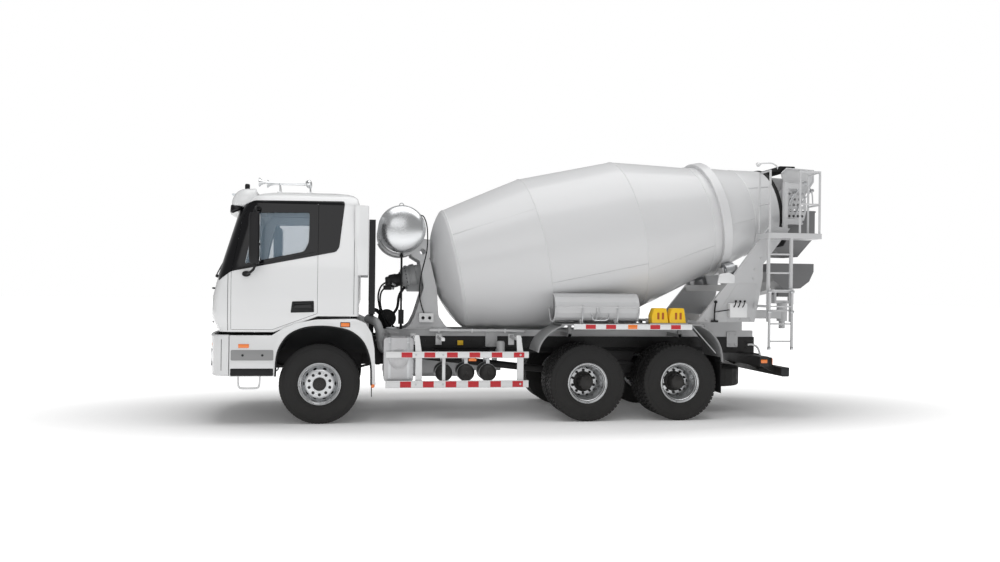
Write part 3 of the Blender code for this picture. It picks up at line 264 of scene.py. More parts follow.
red_lens = finish("red_reflector", (0.62, 0.02, 0.02), 0.2, coat=0.5, drift=0.12, cloud=60.0,
    peel=0.5, grain=700)
orange_lens = finish("orange_reflector", (0.85, 0.2, 0.02), 0.2, coat=0.5, drift=0.12, cloud=60.0,
    peel=0.5, grain=700)
yellow_plastic = finish("yellow_plastic", (0.84, 0.52, 0.015), 0.42, drift=0.06, cloud=8.0,
    peel=0.5, grain=500)
clear_lens = finish("lamp_lens", (0.7, 0.74, 0.78), 0.08, coat=0.8, drift=0.1, cloud=40.0,
    peel=0.6, grain=150)
worn_grey = finish("worn_grey", (0.15, 0.151, 0.154), 0.42, drift=0.12, cloud=4.0, peel=0.3,
    dust=0.1)
roof_lining = finish("roof_lining", (0.5, 0.5, 0.49), 0.9, drift=0.06, cloud=9.0, peel=0.6,
    grain=700)

for dull in (black_paint, gloss_black, black_plastic, dark_plastic, rubber, mouth_rubber,
    cast_iron):
    dull.node_tree.nodes["Principled BSDF"].inputs["Specular IOR Level"].default_value = 0.28


def glass_finish(name, tint_and_sky_reflection, clear):
    """Tinted pane: it lets most light through, and its surface stays glossy. Its pale blue colour is
    partly the glass's own tint and partly a painted reflection of sky.
    """
    mat = finish(name, tint_and_sky_reflection, 0.04, coat=0.3, drift=0.05, cloud=1.0, peel=0.0)
    shader = mat.node_tree.nodes["Principled BSDF"]
    shader.inputs["Alpha"].default_value = clear
    return mat


# The pale blue of both panes is partly tint and partly a painted sky reflection.
pane_glass = glass_finish("pane_glass", (0.26, 0.37, 0.47), 0.24)
screen_glass = glass_finish("screen_glass", (0.26, 0.36, 0.45), 0.42)


def cloth_finish(name, base):
    """Woven cloth: two crossed bands of thread, with a soft sheen."""
    mat = finish(name, base, 0.85, drift=0.12, cloud=12.0, peel=0.0)
    nodes, links = mat.node_tree.nodes, mat.node_tree.links
    shader = nodes["Principled BSDF"]
    shader.inputs["Sheen Weight"].default_value = 0.35
    coord = nodes["Texture Coordinate"]
    height = None
    for axis in ("X", "Z"):
        thread = nodes.new("ShaderNodeTexWave")
        thread.bands_direction = axis
        thread.inputs["Scale"].default_value = 220
        thread.inputs["Distortion"].default_value = 1.2
        links.new(coord.outputs["Object"], thread.inputs["Vector"])
        if height is None:
            height = thread.outputs["Fac"]
        else:
            both = nodes.new("ShaderNodeMath")
            both.operation = "ADD"
            links.new(height, both.inputs[0])
            links.new(thread.outputs["Fac"], both.inputs[1])
            height = both.outputs[0]
    bump = nodes["Bump"]
    bump.inputs["Strength"].default_value = 0.5
    bump.inputs["Distance"].default_value = 0.0015
    links.new(height, bump.inputs["Height"])
    return mat


seat_cloth = cloth_finish("seat_cloth", (0.055, 0.058, 0.065))
seat_side = cloth_finish("seat_side_cloth", (0.1, 0.11, 0.13))
# A look is a finish together with a slot's name.
BLACK_TRIM = (black_plastic, "black_plastic")
WHITE = (white_paint, "white_paint")
STEEL = (raw_steel, "bare_metal")
PALE_GREY = (pale_grey_paint, "grey_paint")
DARK_TRIM = (dark_plastic, "black_plastic")
IRON = (cast_iron, "dark_metal")
SOFT_BLACK = (mouth_rubber, "black_plastic")
ORANGE = (orange_lens, "glass")
GLOSS_TRIM = (gloss_black, "black_plastic")
BLACK = (black_paint, "black_paint")
print(len(bpy.data.materials), "materials")

# %% [markdown]
# ## Shapes in metres
# Every part is drawn in the truck's own metres, with X counted from the front axle. A shape is
# only a list of corners and a list of faces, so shapes can be moved, mirrored and gathered before
# they become one mesh. The last step rounds the sharp edges, because light on a rounded edge is
# what tells the eye that metal is metal.


# %% Simple shapes
def prism(axis, outline, lo, hi):
    """An outline drawn across an axis and carried from lo to hi."""
    order = {"x": (2, 0, 1), "y": (0, 2, 1), "z": (0, 1, 2)}[axis]
    verts = []
    for level in (lo, hi):
        for u, v in outline:
            three = (u, v, level)
            verts.append(tuple(three[order[i]] for i in range(3)))
    n = len(outline)
    faces = [tuple(range(n)), tuple(range(2 * n - 1, n - 1, -1))]
    faces += [(i, (i + 1) % n, n + (i + 1) % n, n + i) for i in range(n)]
    return verts, faces


def slab(x0, x1, y0, y1, z0, z1):
    return prism("z", [(x0, y0), (x1, y0), (x1, y1), (x0, y1)], z0, z1)


def smooth_path(points, per=6):
    """Points of an even curve that passes through the given ones."""
    pts = [Vector(p) for p in points]
    out = []
    for i in range(len(pts) - 1):
        before = pts[i - 1] if i else pts[0] * 2 - pts[1]
        a, b = pts[i], pts[i + 1]
        after = pts[i + 2] if i + 2 < len(pts) else b * 2 - a
        for k in range(per):
            t = k / per
            out.append(0.5 * (2 * a + (b - before) * t + (2 * before - 5 * a + 4 * b
                - after) * t * t + (3 * a - before - 3 * b + after) * t ** 3))
    out.append(pts[-1])
    return out


def spin_frame(axis):
    w = Vector(axis).normalized()
    u = w.orthogonal().normalized() if abs(w.y) < 0.9 else Vector((1, 0, 0))
    return u, w.cross(u), w


def spun(centre, axis, profile, steps=48):
    """A closed outline of (radius, distance along the axis) points, turned round the axis."""
    u, v, w = spin_frame(axis)
    centre = Vector(centre)
    rings, verts = [], []
    for r, d in profile:
        if r < 1e-9:
            rings.append([len(verts)] * steps)
            verts.append(centre + w * d)
        else:
            rings.append(list(range(len(verts), len(verts) + steps)))
            for k in range(steps):
                a = 2 * math.pi * k / steps
                verts.append(centre + (u * math.cos(a) + v * math.sin(a)) * r + w * d)
    faces = []
    n = len(profile)
    for i in range(n):
        j = (i + 1) % n
        if profile[i][0] < 1e-9 and profile[j][0] < 1e-9:
            continue
        for k in range(steps):
            m = (k + 1) % steps
            quad = [rings[i][k], rings[i][m], rings[j][m], rings[j][k]]
            face = tuple(dict.fromkeys(quad))
            if len(face) > 2:
                faces.append(face)
    return verts, faces


def tube(points, radius, sides=12, per=5):
    """A round bar or pipe along a curve, closed at both ends."""
    path = smooth_path(points, per) if per > 1 and len(points) > 2 else [Vector(p) for p in points]
    verts, faces = [], []
    lead = (path[1] - path[0]).normalized()
    side = lead.orthogonal().normalized()
    for i, p in enumerate(path):
        ahead = path[min(i + 1, len(path) - 1)] - path[max(i - 1, 0)]
        ahead.normalize()
        side = (side - ahead * side.dot(ahead)).normalized()
        up = ahead.cross(side)
        for k in range(sides):
            a = 2 * math.pi * k / sides
            verts.append(p + (side * math.cos(a) + up * math.sin(a)) * radius)
    for i in range(len(path) - 1):
        for k in range(sides):
            m = (k + 1) % sides
            faces.append((i * sides + k, i * sides + m, (i + 1) * sides + m, (i + 1) * sides + k))
    last = (len(path) - 1) * sides
    faces.append(tuple(range(sides - 1, -1, -1)))
    faces.append(tuple(range(last, last + sides)))
    return verts, faces


def ball(centre, radius, steps=16):
    arc = [(radius * math.sin(math.pi * i / 8), -radius * math.cos(math.pi * i / 8))
        for i in range(9)]
    arc[0], arc[-1] = (0, -radius), (0, radius)
    return spun(centre, (0, 0, 1), arc, steps)


def flipped(shape):
    """The same shape on the other side of the truck."""
    verts, faces = shape
    return [(x, -y, z) for x, y, z in verts], [tuple(reversed(f)) for f in faces]


def both(*shapes):
    return list(shapes) + [flipped(s) for s in shapes]


# %% Turn shapes into a finished piece
def gather(name, shapes):
    """One mesh object from many shapes, moved into the frame, with its faces outwards."""
    bm = bmesh.new()
    for verts, faces in shapes:
        made = [bm.verts.new((v[0] + AXLE, v[1], v[2])) for v in verts]
        for face in faces:
            bm.faces.new([made[i] for i in face])
    bmesh.ops.recalc_face_normals(bm, faces=bm.faces)
    mesh = bpy.data.meshes.new(name)
    bm.to_mesh(mesh)
    bm.free()
    obj = bpy.data.objects.new(name, mesh)
    bpy.context.scene.collection.objects.link(obj)
    return obj


def settle(obj):
    """Apply all modifiers by making the evaluated mesh the object's own."""
    bpy.context.view_layer.update()
    graph = bpy.context.evaluated_depsgraph_get()
    mesh = bpy.data.meshes.new_from_object(obj.evaluated_get(graph))
    obj.modifiers.clear()
    obj.data = mesh
    mesh.name = obj.name
    return obj


def round_edges(obj, width, segments=2, angle=35):
    bevel = obj.modifiers.new("bevel", "BEVEL")
    bevel.width = width
    bevel.segments = segments
    bevel.limit_method = "ANGLE"
    bevel.angle_limit = math.radians(angle)
    bevel.harden_normals = False
    return settle(obj)


def dress(obj, body, mat, slot=None, angle=32, stands_for=()):
    """Paint a mesh, shade it, and hang it on its body."""
    obj.data.materials.clear()
    obj.data.materials.append(mat)
    obj.data.shade_smooth()
    obj.data.set_sharp_from_angle(angle=math.radians(angle))
    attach(obj, body)
    if stands_for:
        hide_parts(*stands_for)
    return obj


def piece(name, shapes, body, mat, slot=None, bevel=0.0, angle=32, stands_for=()):
    obj = gather(name, shapes)
    if bevel:
        round_edges(obj, bevel)
    return dress(obj, body, mat, slot, angle, stands_for)


def carve_all(obj, shapes, how="DIFFERENCE"):
    """Take separate closed shapes away from a mesh, or keep only what lies inside them."""
    knife = gather("knife", shapes)
    op = obj.modifiers.new("cut", "BOOLEAN")
    op.operation = how
    op.solver = "EXACT"
    op.object = knife
    settle(obj)
    bpy.data.objects.remove(knife, do_unlink=True)
    return obj


def keep(obj, shape):
    return carve_all(obj, [shape], "INTERSECT")


def twin(obj, name):
    """A copy of a piece for the other side of the truck."""
    mesh = obj.data.copy()
    mesh.transform(Matrix.Diagonal((1, -1, 1, 1)))
    mesh.flip_normals()
    other = bpy.data.objects.new(name, mesh)
    bpy.context.scene.collection.objects.link(other)
    return other


# %% [markdown]
# ## Two trees for what repeats
# Wheel nuts, tread blocks and hand holes stand in rings; rungs, bolts and stripes stand in rows.
# Geometry Nodes repeats one part for both. The ring tree turns copies about an axis, the row tree
# steps them along a line. Both end in Realize Instances and Set Material, so the result is an
# ordinary mesh.


# %% Build the ring tree and the row tree
def new_tree(name, sockets):
    tree = bpy.data.node_groups.new(name, "GeometryNodeTree")
    tree.interface.new_socket(name="Geometry", in_out="OUTPUT", socket_type="NodeSocketGeometry")
    tree.interface.new_socket(name="Geometry", in_out="INPUT", socket_type="NodeSocketGeometry")
    for label, kind in sockets:
        tree.interface.new_socket(name=label, in_out="INPUT", socket_type=kind)
    return tree, tree.nodes.new("NodeGroupInput"), tree.nodes.new("NodeGroupOutput")


def close_tree(tree, source, result, start, end):
    real = tree.nodes.new("GeometryNodeRealizeInstances")
    paint = tree.nodes.new("GeometryNodeSetMaterial")
    tree.links.new(result, real.inputs[0])
    tree.links.new(real.outputs[0], paint.inputs[0])
    tree.links.new(start.outputs["Material"], paint.inputs["Material"])
    tree.links.new(paint.outputs[0], end.inputs[0])
    return tree


def ring_tree():
    tree, start, end = new_tree(
        "ring of copies",
        [("Count", "NodeSocketInt"), ("Centre", "NodeSocketVector"), ("Axis", "NodeSocketVector"),
            ("Material", "NodeSocketMaterial")],
    )
    nodes, links = tree.nodes, tree.links
    away = nodes.new("ShaderNodeVectorMath")
    away.operation = "SCALE"
    away.inputs["Scale"].default_value = -1
    links.new(start.outputs["Centre"], away.inputs[0])
    home = nodes.new("GeometryNodeTransform")
    links.new(start.outputs["Geometry"], home.inputs["Geometry"])
    links.new(away.outputs[0], home.inputs["Translation"])
    spots = nodes.new("GeometryNodeMeshLine")
    links.new(start.outputs["Count"], spots.inputs["Count"])
    links.new(start.outputs["Centre"], spots.inputs["Start Location"])
    spots.inputs["Offset"].default_value = (0, 0, 0)
    index = nodes.new("GeometryNodeInputIndex")
    share = nodes.new("ShaderNodeMath")
    share.operation = "DIVIDE"
    links.new(index.outputs[0], share.inputs[0])
    links.new(start.outputs["Count"], share.inputs[1])
    angle = nodes.new("ShaderNodeMath")
    angle.operation = "MULTIPLY"
    angle.inputs[1].default_value = 2 * math.pi
    links.new(share.outputs[0], angle.inputs[0])
    turn = nodes.new("FunctionNodeAxisAngleToRotation")
    links.new(start.outputs["Axis"], turn.inputs["Axis"])
    links.new(angle.outputs[0], turn.inputs["Angle"])
    copies = nodes.new("GeometryNodeInstanceOnPoints")
    links.new(spots.outputs[0], copies.inputs["Points"])
    links.new(home.outputs[0], copies.inputs["Instance"])
    links.new(turn.outputs[0], copies.inputs["Rotation"])
    return close_tree(tree, start, copies.outputs[0], start, end)


def row_tree():
    tree, start, end = new_tree(
        "row of copies",
        [("Count", "NodeSocketInt"), ("Step", "NodeSocketVector"), ("Material",
            "NodeSocketMaterial")],
    )
    nodes, links = tree.nodes, tree.links
    spots = nodes.new("GeometryNodeMeshLine")
    links.new(start.outputs["Count"], spots.inputs["Count"])
    links.new(start.outputs["Step"], spots.inputs["Offset"])
    copies = nodes.new("GeometryNodeInstanceOnPoints")
    links.new(spots.outputs[0], copies.inputs["Points"])
    links.new(start.outputs["Geometry"], copies.inputs["Instance"])
    return close_tree(tree, start, copies.outputs[0], start, end)


RING, ROW = ring_tree(), row_tree()


def repeat(obj, tree, **values):
    """Run a tree on a mesh and keep the plain mesh that it makes."""
    mod = obj.modifiers.new(tree.name, "NODES")
    mod.node_group = tree
    for item in tree.interface.items_tree:
        if item.in_out == "INPUT" and item.name in values:
            mod[item.identifier] = values[item.name]
    obj.update_tag()
    return settle(obj)


def ring_of(name, shapes, count, centre, axis, mat, bevel=0.0):
    obj = gather(name, shapes)
    if bevel:
        round_edges(obj, bevel, 1)
    middle = (centre[0] + AXLE, centre[1], centre[2])
    return repeat(obj, RING, Count=count, Centre=middle, Axis=tuple(axis), Material=mat)


def row_of(name, shapes, count, step, mat, bevel=0.0):
    obj = gather(name, shapes)
    if bevel:
        round_edges(obj, bevel, 1)
    return repeat(obj, ROW, Count=count, Step=tuple(step), Material=mat)


def bolt(centre, axis, radius, height):
    """A hexagonal bolt head on its washer."""
    head = spun(centre, axis, [(0, -0.002), (radius * 1.25, -0.002), (radius * 1.25, height * 0.2),
        (0, height * 0.2)], 16)
    hexagon = spun(centre, axis, [(0, 0), (radius, 0), (radius, height * 0.9), (radius * 0.85,
        height), (0, height)], 6)
    return [head, hexagon]


print("trees:", RING.name, "and", ROW.name)

# %% [markdown]
# ## Tyres
# A truck tyre is a turned section: a bead, a soft side with a moulded ring or two, a shoulder and
# a flat tread. The steered tyres carry ribs with four grooves round them. The driven tyres carry
# blocks, which the ring tree sets round a slightly lower crown.


# %% Draw a tyre section
def tyre_section(mid, crown, grooves):
    """A closed section of (radius, distance) about the middle of the tread."""
    side = [(0.258, 0.112), (0.272, 0.117), (0.292, 0.128), (0.318, 0.14), (0.331, 0.1445),
        (0.334, 0.1478)]
    side += [(0.339, 0.148), (0.342, 0.1465), (0.372, 0.1525), (0.41, 0.155), (0.446, 0.154),
        (0.48, 0.15)]
    side += [(0.483, 0.152), (0.487, 0.1517), (0.49, 0.1475), (0.515, 0.142), (0.534, 0.135),
        (crown - 0.006, 0.127), (crown, 0.116)]
    tread = []
    for g in grooves:
        tread += [(crown, g + 0.0065), (crown - 0.013, g + 0.0045), (crown - 0.013, g - 0.0045),
            (crown, g - 0.0065)]
    loop = side + tread + [(r, -d) for r, d in reversed(side)]
    return [(r, mid + d) for r, d in loop]


FRONT_Y, TWIN_OUT, TWIN_IN = 1.02, 1.09, 0.75
DRIVEN_X = (3.79, 5.18)
LEFT = (0, -1, 0)


def lug(mid, lo, hi, angle, half, crown, skew=0.0):
    """One raised tread block, as a patch of the crown."""
    corners = []
    for r in (crown - 0.004, TYRE_R):
        trim = 0.0 if r < TYRE_R - 0.001 else 0.0022
        for d, a in ((lo + trim, -half), (hi - trim, -half), (hi - trim, half), (lo + trim, half)):
            turn = angle + (a + (trim / TYRE_R if a < 0 else -trim / TYRE_R)) + skew * (d - mid)
            corners.append((r * math.sin(turn), -d, TYRE_R + r * math.cos(turn)))
    faces = [(0, 1, 2, 3), (7, 6, 5, 4), (0, 4, 5, 1), (1, 5, 6, 2), (2, 6, 7, 3), (3, 7, 4, 0)]
    return corners, faces


def shifted(shapes, dx):
    return [([(x + dx, y, z) for x, y, z in verts], faces) for verts, faces in shapes]


# %% Steered tyres
front_tyre = gather("front_tyre_left_skin", [spun((0, 0, TYRE_R), LEFT, tyre_section(FRONT_Y,
    TYRE_R - 0.001, (0.066, 0.023, -0.023, -0.066)), 112)])
front_lugs = ring_of(
    "front_shoulder_left",
    [lug(FRONT_Y, FRONT_Y + 0.086, FRONT_Y + 0.1285, 0, 0.034, TYRE_R - 0.008), lug(FRONT_Y,
        FRONT_Y - 0.1285, FRONT_Y - 0.086, 0.02, 0.034, TYRE_R - 0.008)],
    74,
    (0, -FRONT_Y, TYRE_R),
    LEFT,
    rubber,
)
for label, source, part in (("left", front_tyre, "tyre"), ("left", front_lugs, "shoulder")):
    mirror_copy = twin(source, "front_" + part + "_right" + ("_skin" if part == "tyre" else ""))
    for side, obj in (("left", source), ("right", mirror_copy)):
        dress(obj, "wheel_front_" + side, rubber, "tyre", 24)
        if part == "tyre":
            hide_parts("front_tyre_" + side)

# %% Driven tyres, two on each hub
CROWN = TYRE_R - 0.012
blocks = []
for mid in (TWIN_OUT, TWIN_IN):
    blocks.append(lug(mid, mid + 0.075, mid + 0.134, 0.0, 0.045, CROWN))
    blocks.append(lug(mid, mid + 0.008, mid + 0.066, 0.055, 0.045, CROWN, 0.35))
    blocks.append(lug(mid, mid - 0.066, mid - 0.008, 0.0, 0.045, CROWN, 0.35))
    blocks.append(lug(mid, mid - 0.134, mid - 0.075, 0.055, 0.045, CROWN))
pair = [spun((0, 0, TYRE_R), LEFT, tyre_section(mid, CROWN, (0.07, 0.0, -0.07)), 96)
    for mid in (TWIN_OUT, TWIN_IN)]
for row, x in zip(("front", "rear"), DRIVEN_X):
    body = "wheels_middle_" if row == "front" else "wheels_rear_"
    tyre = gather("twin_tyres_" + row + "_left", shifted(pair, x))
    tread = ring_of("twin_tread_" + row + "_left", shifted(blocks, x), 56, (x, -TWIN_OUT, TYRE_R),
        LEFT, rubber)
    for part in (tyre, tread):
        other = twin(part, part.name.replace("left", "right"))
        dress(part, body + "left", rubber, "tyre", 24)
        dress(other, body + "right", rubber, "tyre", 24)

# %% [markdown]
# ## Rims and hubs
# The steered rim is turned inside out: its disc stands proud, with ten hand holes round the edge
# and ten nuts. The driven rims are the same rim turned the other way, so their disc lies deep in
# the dish and the hub's black cap comes out of it. Each rim is one turned section, its hand holes
# are cut, and the ring tree sets the nuts.


# %% Cut the rims
def hand_holes(x, radius, depth, half, long, count=10):
    """Oval cutters round a hub, all at once."""
    shapes = []
    for k in range(count):
        a = 2 * math.pi * (k + 0.5) / count
        oval = []
        for j in range(16):
            t = 2 * math.pi * j / 16
            u = long * math.cos(t)
            v = half * math.sin(t)
            px = (radius + v) * math.sin(a + u / radius)
            pz = (radius + v) * math.cos(a + u / radius)
            oval.append((x + px, TYRE_R + pz))
        shapes.append(prism("y", oval, -depth[1], -depth[0]))
    return shapes


front_section = [
    (0.092, 0.122), (0.092, 0.137), (0.16, 0.137), (0.184, 0.134), (0.203, 0.118), (0.221, 0.072),
        (0.232, 0.046),
    (0.2405, 0.055), (0.2455, 0.098), (0.254, 0.116), (0.268, 0.124), (0.279, 0.134),
        (0.286, 0.1425), (0.2905, 0.1415),
    (0.2915, 0.136), (0.287, 0.118), (0.2565, 0.109), (0.2565, -0.109), (0.289, -0.112),
        (0.2865, -0.142),
    (0.272, -0.132), (0.243, -0.098), (0.238, 0.02), (0.225, 0.034), (0.206, 0.09), (0.188, 0.118),
        (0.165, 0.122),
]
front_rim = gather("front_rim_left_skin", [spun((0, -FRONT_Y, TYRE_R), LEFT, front_section, 96)])
carve_all(front_rim, hand_holes(0, 0.2135, (FRONT_Y + 0.02, FRONT_Y + 0.2), 0.0145, 0.026))
front_nuts = ring_of(
    "front_nuts_left",
    [s for s in bolt((0, -FRONT_Y - 0.139, TYRE_R + 0.1475), LEFT, 0.0165, 0.03)] + [spun((0,
        -FRONT_Y - 0.139, TYRE_R + 0.1475), LEFT, [(0, 0.02), (0.009, 0.02), (0.009, 0.044),
        (0.007, 0.046), (0, 0.046)], 12)],
    10,
    (0, -FRONT_Y, TYRE_R),
    LEFT,
    cast_iron,
)
front_hub = gather(
    "front_hub_left",
    [
        spun((0, -FRONT_Y, TYRE_R), LEFT, [(0, 0.112), (0.0915, 0.112), (0.0915, 0.168),
            (0.086, 0.18), (0.074, 0.184), (0.07, 0.191), (0.052, 0.1955), (0.02, 0.1965),
            (0, 0.1965)], 48),
        spun((0, -FRONT_Y, TYRE_R), LEFT, [(0, 0.19), (0.024, 0.19), (0.022, 0.204), (0, 0.205)],
            6),
    ],
)
hub_bolts = ring_of("front_hub_bolts_left", bolt((0, -FRONT_Y - 0.1815, TYRE_R + 0.079), LEFT,
    0.006, 0.007), 8, (0, -FRONT_Y, TYRE_R), LEFT, cast_iron)
for part, mat, slot_name in ((front_rim, rim_silver, "bare_metal"), (front_nuts, *IRON),
    (front_hub, *BLACK), (hub_bolts, *IRON)):
    other = twin(part, part.name.replace("left", "right"))
    for side, obj in (("left", part), ("right", other)):
        dress(obj, "wheel_front_" + side, mat, slot_name, 30)
        if part is front_rim:
            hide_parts("front_rim_" + side)

# %% Driven rims
deep_section = [
    (0.118, 0.952), (0.118, 0.966), (0.18, 0.966), (0.198, 0.963), (0.214, 0.972), (0.229, 0.992),
        (0.2385, 1.022),
    (0.2435, 1.08), (0.2455, 1.165), (0.25, 1.19), (0.262, 1.2), (0.268, 1.209), (0.279, 1.213),
        (0.2865, 1.224),
    (0.2905, 1.2235), (0.2915, 1.218), (0.287, 1.2), (0.2565, 1.192), (0.2565, 0.99),
        (0.24, 0.948), (0.22, 0.942),
    (0.198, 0.949), (0.18, 0.952),
]
inner_section = [
    (0.2565, 0.64), (0.2565, 0.915), (0.288, 0.925), (0.286, 0.93), (0.252, 0.921), (0.244, 0.905),
        (0.24, 0.64),
    (0.252, 0.615), (0.286, 0.607), (0.289, 0.612),
]
for row, x in zip(("front", "rear"), DRIVEN_X):
    body = "wheels_middle_" if row == "front" else "wheels_rear_"
    rim = gather("twin_rim_" + row + "_left", [spun((x, 0, TYRE_R), LEFT, deep_section, 96)])
    carve_all(rim, hand_holes(x, 0.2035, (0.9, 0.9795), 0.0125, 0.024))
    inner_rim = gather("twin_inner_rim_" + row + "_left", [spun((x, 0, TYRE_R), LEFT,
        inner_section, 72)])
    boss = gather(
        "twin_hub_" + row + "_left",
        [
            spun((x, 0, TYRE_R), LEFT, [(0, 0.9), (0.15, 0.9), (0.15, 0.967), (0.146, 0.99),
                (0.128, 1.0), (0.113, 1.012), (0.108, 1.045), (0.106, 1.12), (0.098, 1.142),
                (0.088, 1.15), (0.06, 1.1665), (0.02, 1.169), (0, 1.169)], 56),
            spun((x, 0, TYRE_R), LEFT, [(0, 0.62), (0.205, 0.62), (0.212, 0.66), (0.212, 0.9),
                (0.2, 0.925), (0.15, 0.93), (0, 0.93)], 56),
        ],
    )
    nut = bolt((x, -0.968, TYRE_R + 0.168), LEFT, 0.016, 0.034)
    nut.append(spun((x, -0.968, TYRE_R + 0.168), LEFT, [(0, 0.02), (0.009, 0.02), (0.009, 0.052),
        (0.007, 0.055), (0, 0.055)], 12))
    nuts = ring_of("twin_nuts_" + row + "_left", nut, 10, (x, 0, TYRE_R), LEFT, cast_iron)
    cap_bolts = ring_of("twin_cap_bolts_" + row + "_left", bolt((x, -1.1425, TYRE_R + 0.0935),
        LEFT, 0.0075, 0.009), 10, (x, 0, TYRE_R), LEFT, cast_iron)
    for part, mat, slot_name in ((rim, rim_silver, "bare_metal"), (inner_rim, rim_silver,
        "bare_metal"), (boss, *BLACK), (nuts, *IRON), (cap_bolts, *IRON)):
        other = twin(part, part.name.replace("left", "right"))
        for side, obj in (("left", part), ("right", other)):
            dress(obj, body + side, mat, slot_name, 30)
            if part is rim:
                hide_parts("twin_wheel_" + row + "_" + side)
print("wheels ready")

# %% [markdown]
# ## The drum
# The drum is rolled from flat plate: a dished head, a cone, a short straight course, a second
# cone, the running ring, a last cone and the mouth. It is one turned section with many steps, and
# each seam is a low weld bead. Long seams run where a plate closes on itself. Two blades wind
# through the inside and show at the mouth.

# %% Turn the drum's shell
DRUM_AT = Vector((1.909, 0, 2.186))
DRUM_AXIS = Vector((math.cos(TILT), 0, math.sin(TILT)))
DRUM_DOWN = Vector((math.sin(TILT), 0, -math.cos(TILT)))
RING_R = 0.92


def bead(s, r, half=0.011, high=0.005):
    """A weld bead across a seam of the section."""
    return [(r, s - half), (r + high, s - half * 0.5), (r + high, s + half * 0.5), (r, s + half)]


head = [(0.0, -0.3), (0.15, -0.296), (0.32, -0.276), (0.47, -0.236), (0.62, -0.178),
    (0.745, -0.115), (0.842, -0.05), (0.893, -0.008)]
shell_profile = list(head)
shell_profile += [(0.912, 0.01)]
shell_profile += bead(0.045, 0.924)
shell_profile += [(1.01, 0.455), (1.098, 0.88)]
shell_profile += bead(1.301, 1.18)
shell_profile += bead(2.789, 1.184)
shell_profile += [(1.035, 3.4)]
shell_profile += bead(4.0, 0.885)
shell_profile += [(0.866, 4.11), (0.862, 4.129), (RING_R - 0.006, 4.129), (RING_R, 4.136),
    (RING_R, 4.264), (RING_R - 0.006, 4.271), (0.842, 4.271)]
shell_profile += [(0.833, 4.3)]
shell_profile += bead(4.76, 0.712)
shell_profile += [(0.641, 5.095), (0.622, 5.18), (0.613, 5.225)]
inside = [(0.59, 5.225), (0.6, 5.15), (0.69, 4.74), (0.85, 4.016), (1.155, 2.789), (1.15, 1.301),
    (0.885, 0.01), (0.6, -0.15), (0.32, -0.24), (0.0, -0.25)]
piece("drum_shell", [spun(DRUM_AT, DRUM_AXIS, shell_profile + inside, 144)], "drum_body",
    drum_paint, "drum_paint", angle=14, stands_for=("drum",))
mouth_lip = [(0.586, 5.214), (0.615, 5.214), (0.62, 5.222), (0.62, 5.262), (0.612, 5.278),
    (0.596, 5.28), (0.584, 5.268)]
piece("drum_mouth_ring", [spun(DRUM_AT, DRUM_AXIS, mouth_lip, 96)], "drum_body", *SOFT_BLACK,
    angle=40)
hub_flange = [(0, -0.358), (0.196, -0.358), (0.202, -0.352), (0.202, -0.332), (0.19, -0.326),
    (0.205, -0.29), (0, -0.28)]
piece("drum_front_flange", [spun(DRUM_AT, DRUM_AXIS, hub_flange, 64)], "drum_body", gear_paint,
    "drum_paint")
flange_bolts = ring_of(
    "drum_flange_bolts",
    bolt(DRUM_AT + DRUM_AXIS * -0.357 + DRUM_DOWN * 0.178, -DRUM_AXIS, 0.011, 0.0105),
    16,
    DRUM_AT,
    DRUM_AXIS,
    cast_iron,
)
dress(flange_bolts, "drum_body", *IRON)


# %% Weld the long seams
def on_drum(s, r, angle):
    """A point on the drum: distance along, radius, and angle from the near side upwards."""
    near = Vector((0, -1, 0))
    up = -DRUM_DOWN
    return DRUM_AT + DRUM_AXIS * s + (near * math.cos(angle) + up * math.sin(angle)) * r


def long_seam(s0, r0, s1, r1, angle):
    steps = 14
    points = [on_drum(s0 + (s1 - s0) * k / steps, r0 + (r1 - r0) * k / steps + 0.0008, angle)
        for k in range(steps + 1)]
    return tube(points, 0.0042, 6, 1)


seams = [
    long_seam(0.06, 0.927, 1.29, 1.178, 0.56),
    long_seam(1.315, 1.183, 2.775, 1.187, -0.42),
    long_seam(2.8, 1.184, 3.99, 0.889, -0.5),
    long_seam(2.8, 1.184, 3.99, 0.889, 1.9),
    long_seam(0.06, 0.927, 1.29, 1.178, 2.7),
    long_seam(1.315, 1.183, 2.775, 1.187, 2.5),
    long_seam(4.31, 0.832, 4.75, 0.716, -0.2),
    long_seam(4.31, 0.832, 4.75, 0.716, 2.9),
    long_seam(4.77, 0.714, 5.2, 0.622, 0.5),
]
piece("drum_long_seams", seams, "drum_body", drum_paint, "drum_paint", angle=60)

# %% Fit the access cover and its bolts


def curved_plate(s0, s1, a0, a1, r, thick, corner=0.06):
    """A plate that lies on the straight course of the drum, with rounded corners."""
    outline = []
    for cs, ca, start in ((s1 - corner, a1 - corner, 0), (s0 + corner, a1 - corner, 90),
        (s0 + corner, a0 + corner, 180), (s1 - corner, a0 + corner, 270)):
        for k in range(5):
            t = math.radians(start + 22.5 * k)
            outline.append((cs + corner * math.cos(t), ca + corner * math.sin(t)))
    top = [on_drum(s, r + thick, a) for s, a in outline]
    low = [on_drum(s, r - 0.004, a) for s, a in outline]
    n = len(outline)
    mid_top = on_drum((s0 + s1) / 2, r + thick + 0.002, (a0 + a1) / 2)
    mid_low = on_drum((s0 + s1) / 2, r - 0.004, (a0 + a1) / 2)
    verts = top + low + [mid_top, mid_low]
    faces = [(i, (i + 1) % n, 2 * n) for i in range(n)]
    faces += [(n + (i + 1) % n, n + i, 2 * n + 1) for i in range(n)]
    faces += [(i, n + i, n + (i + 1) % n, (i + 1) % n) for i in range(n)]
    return verts, faces


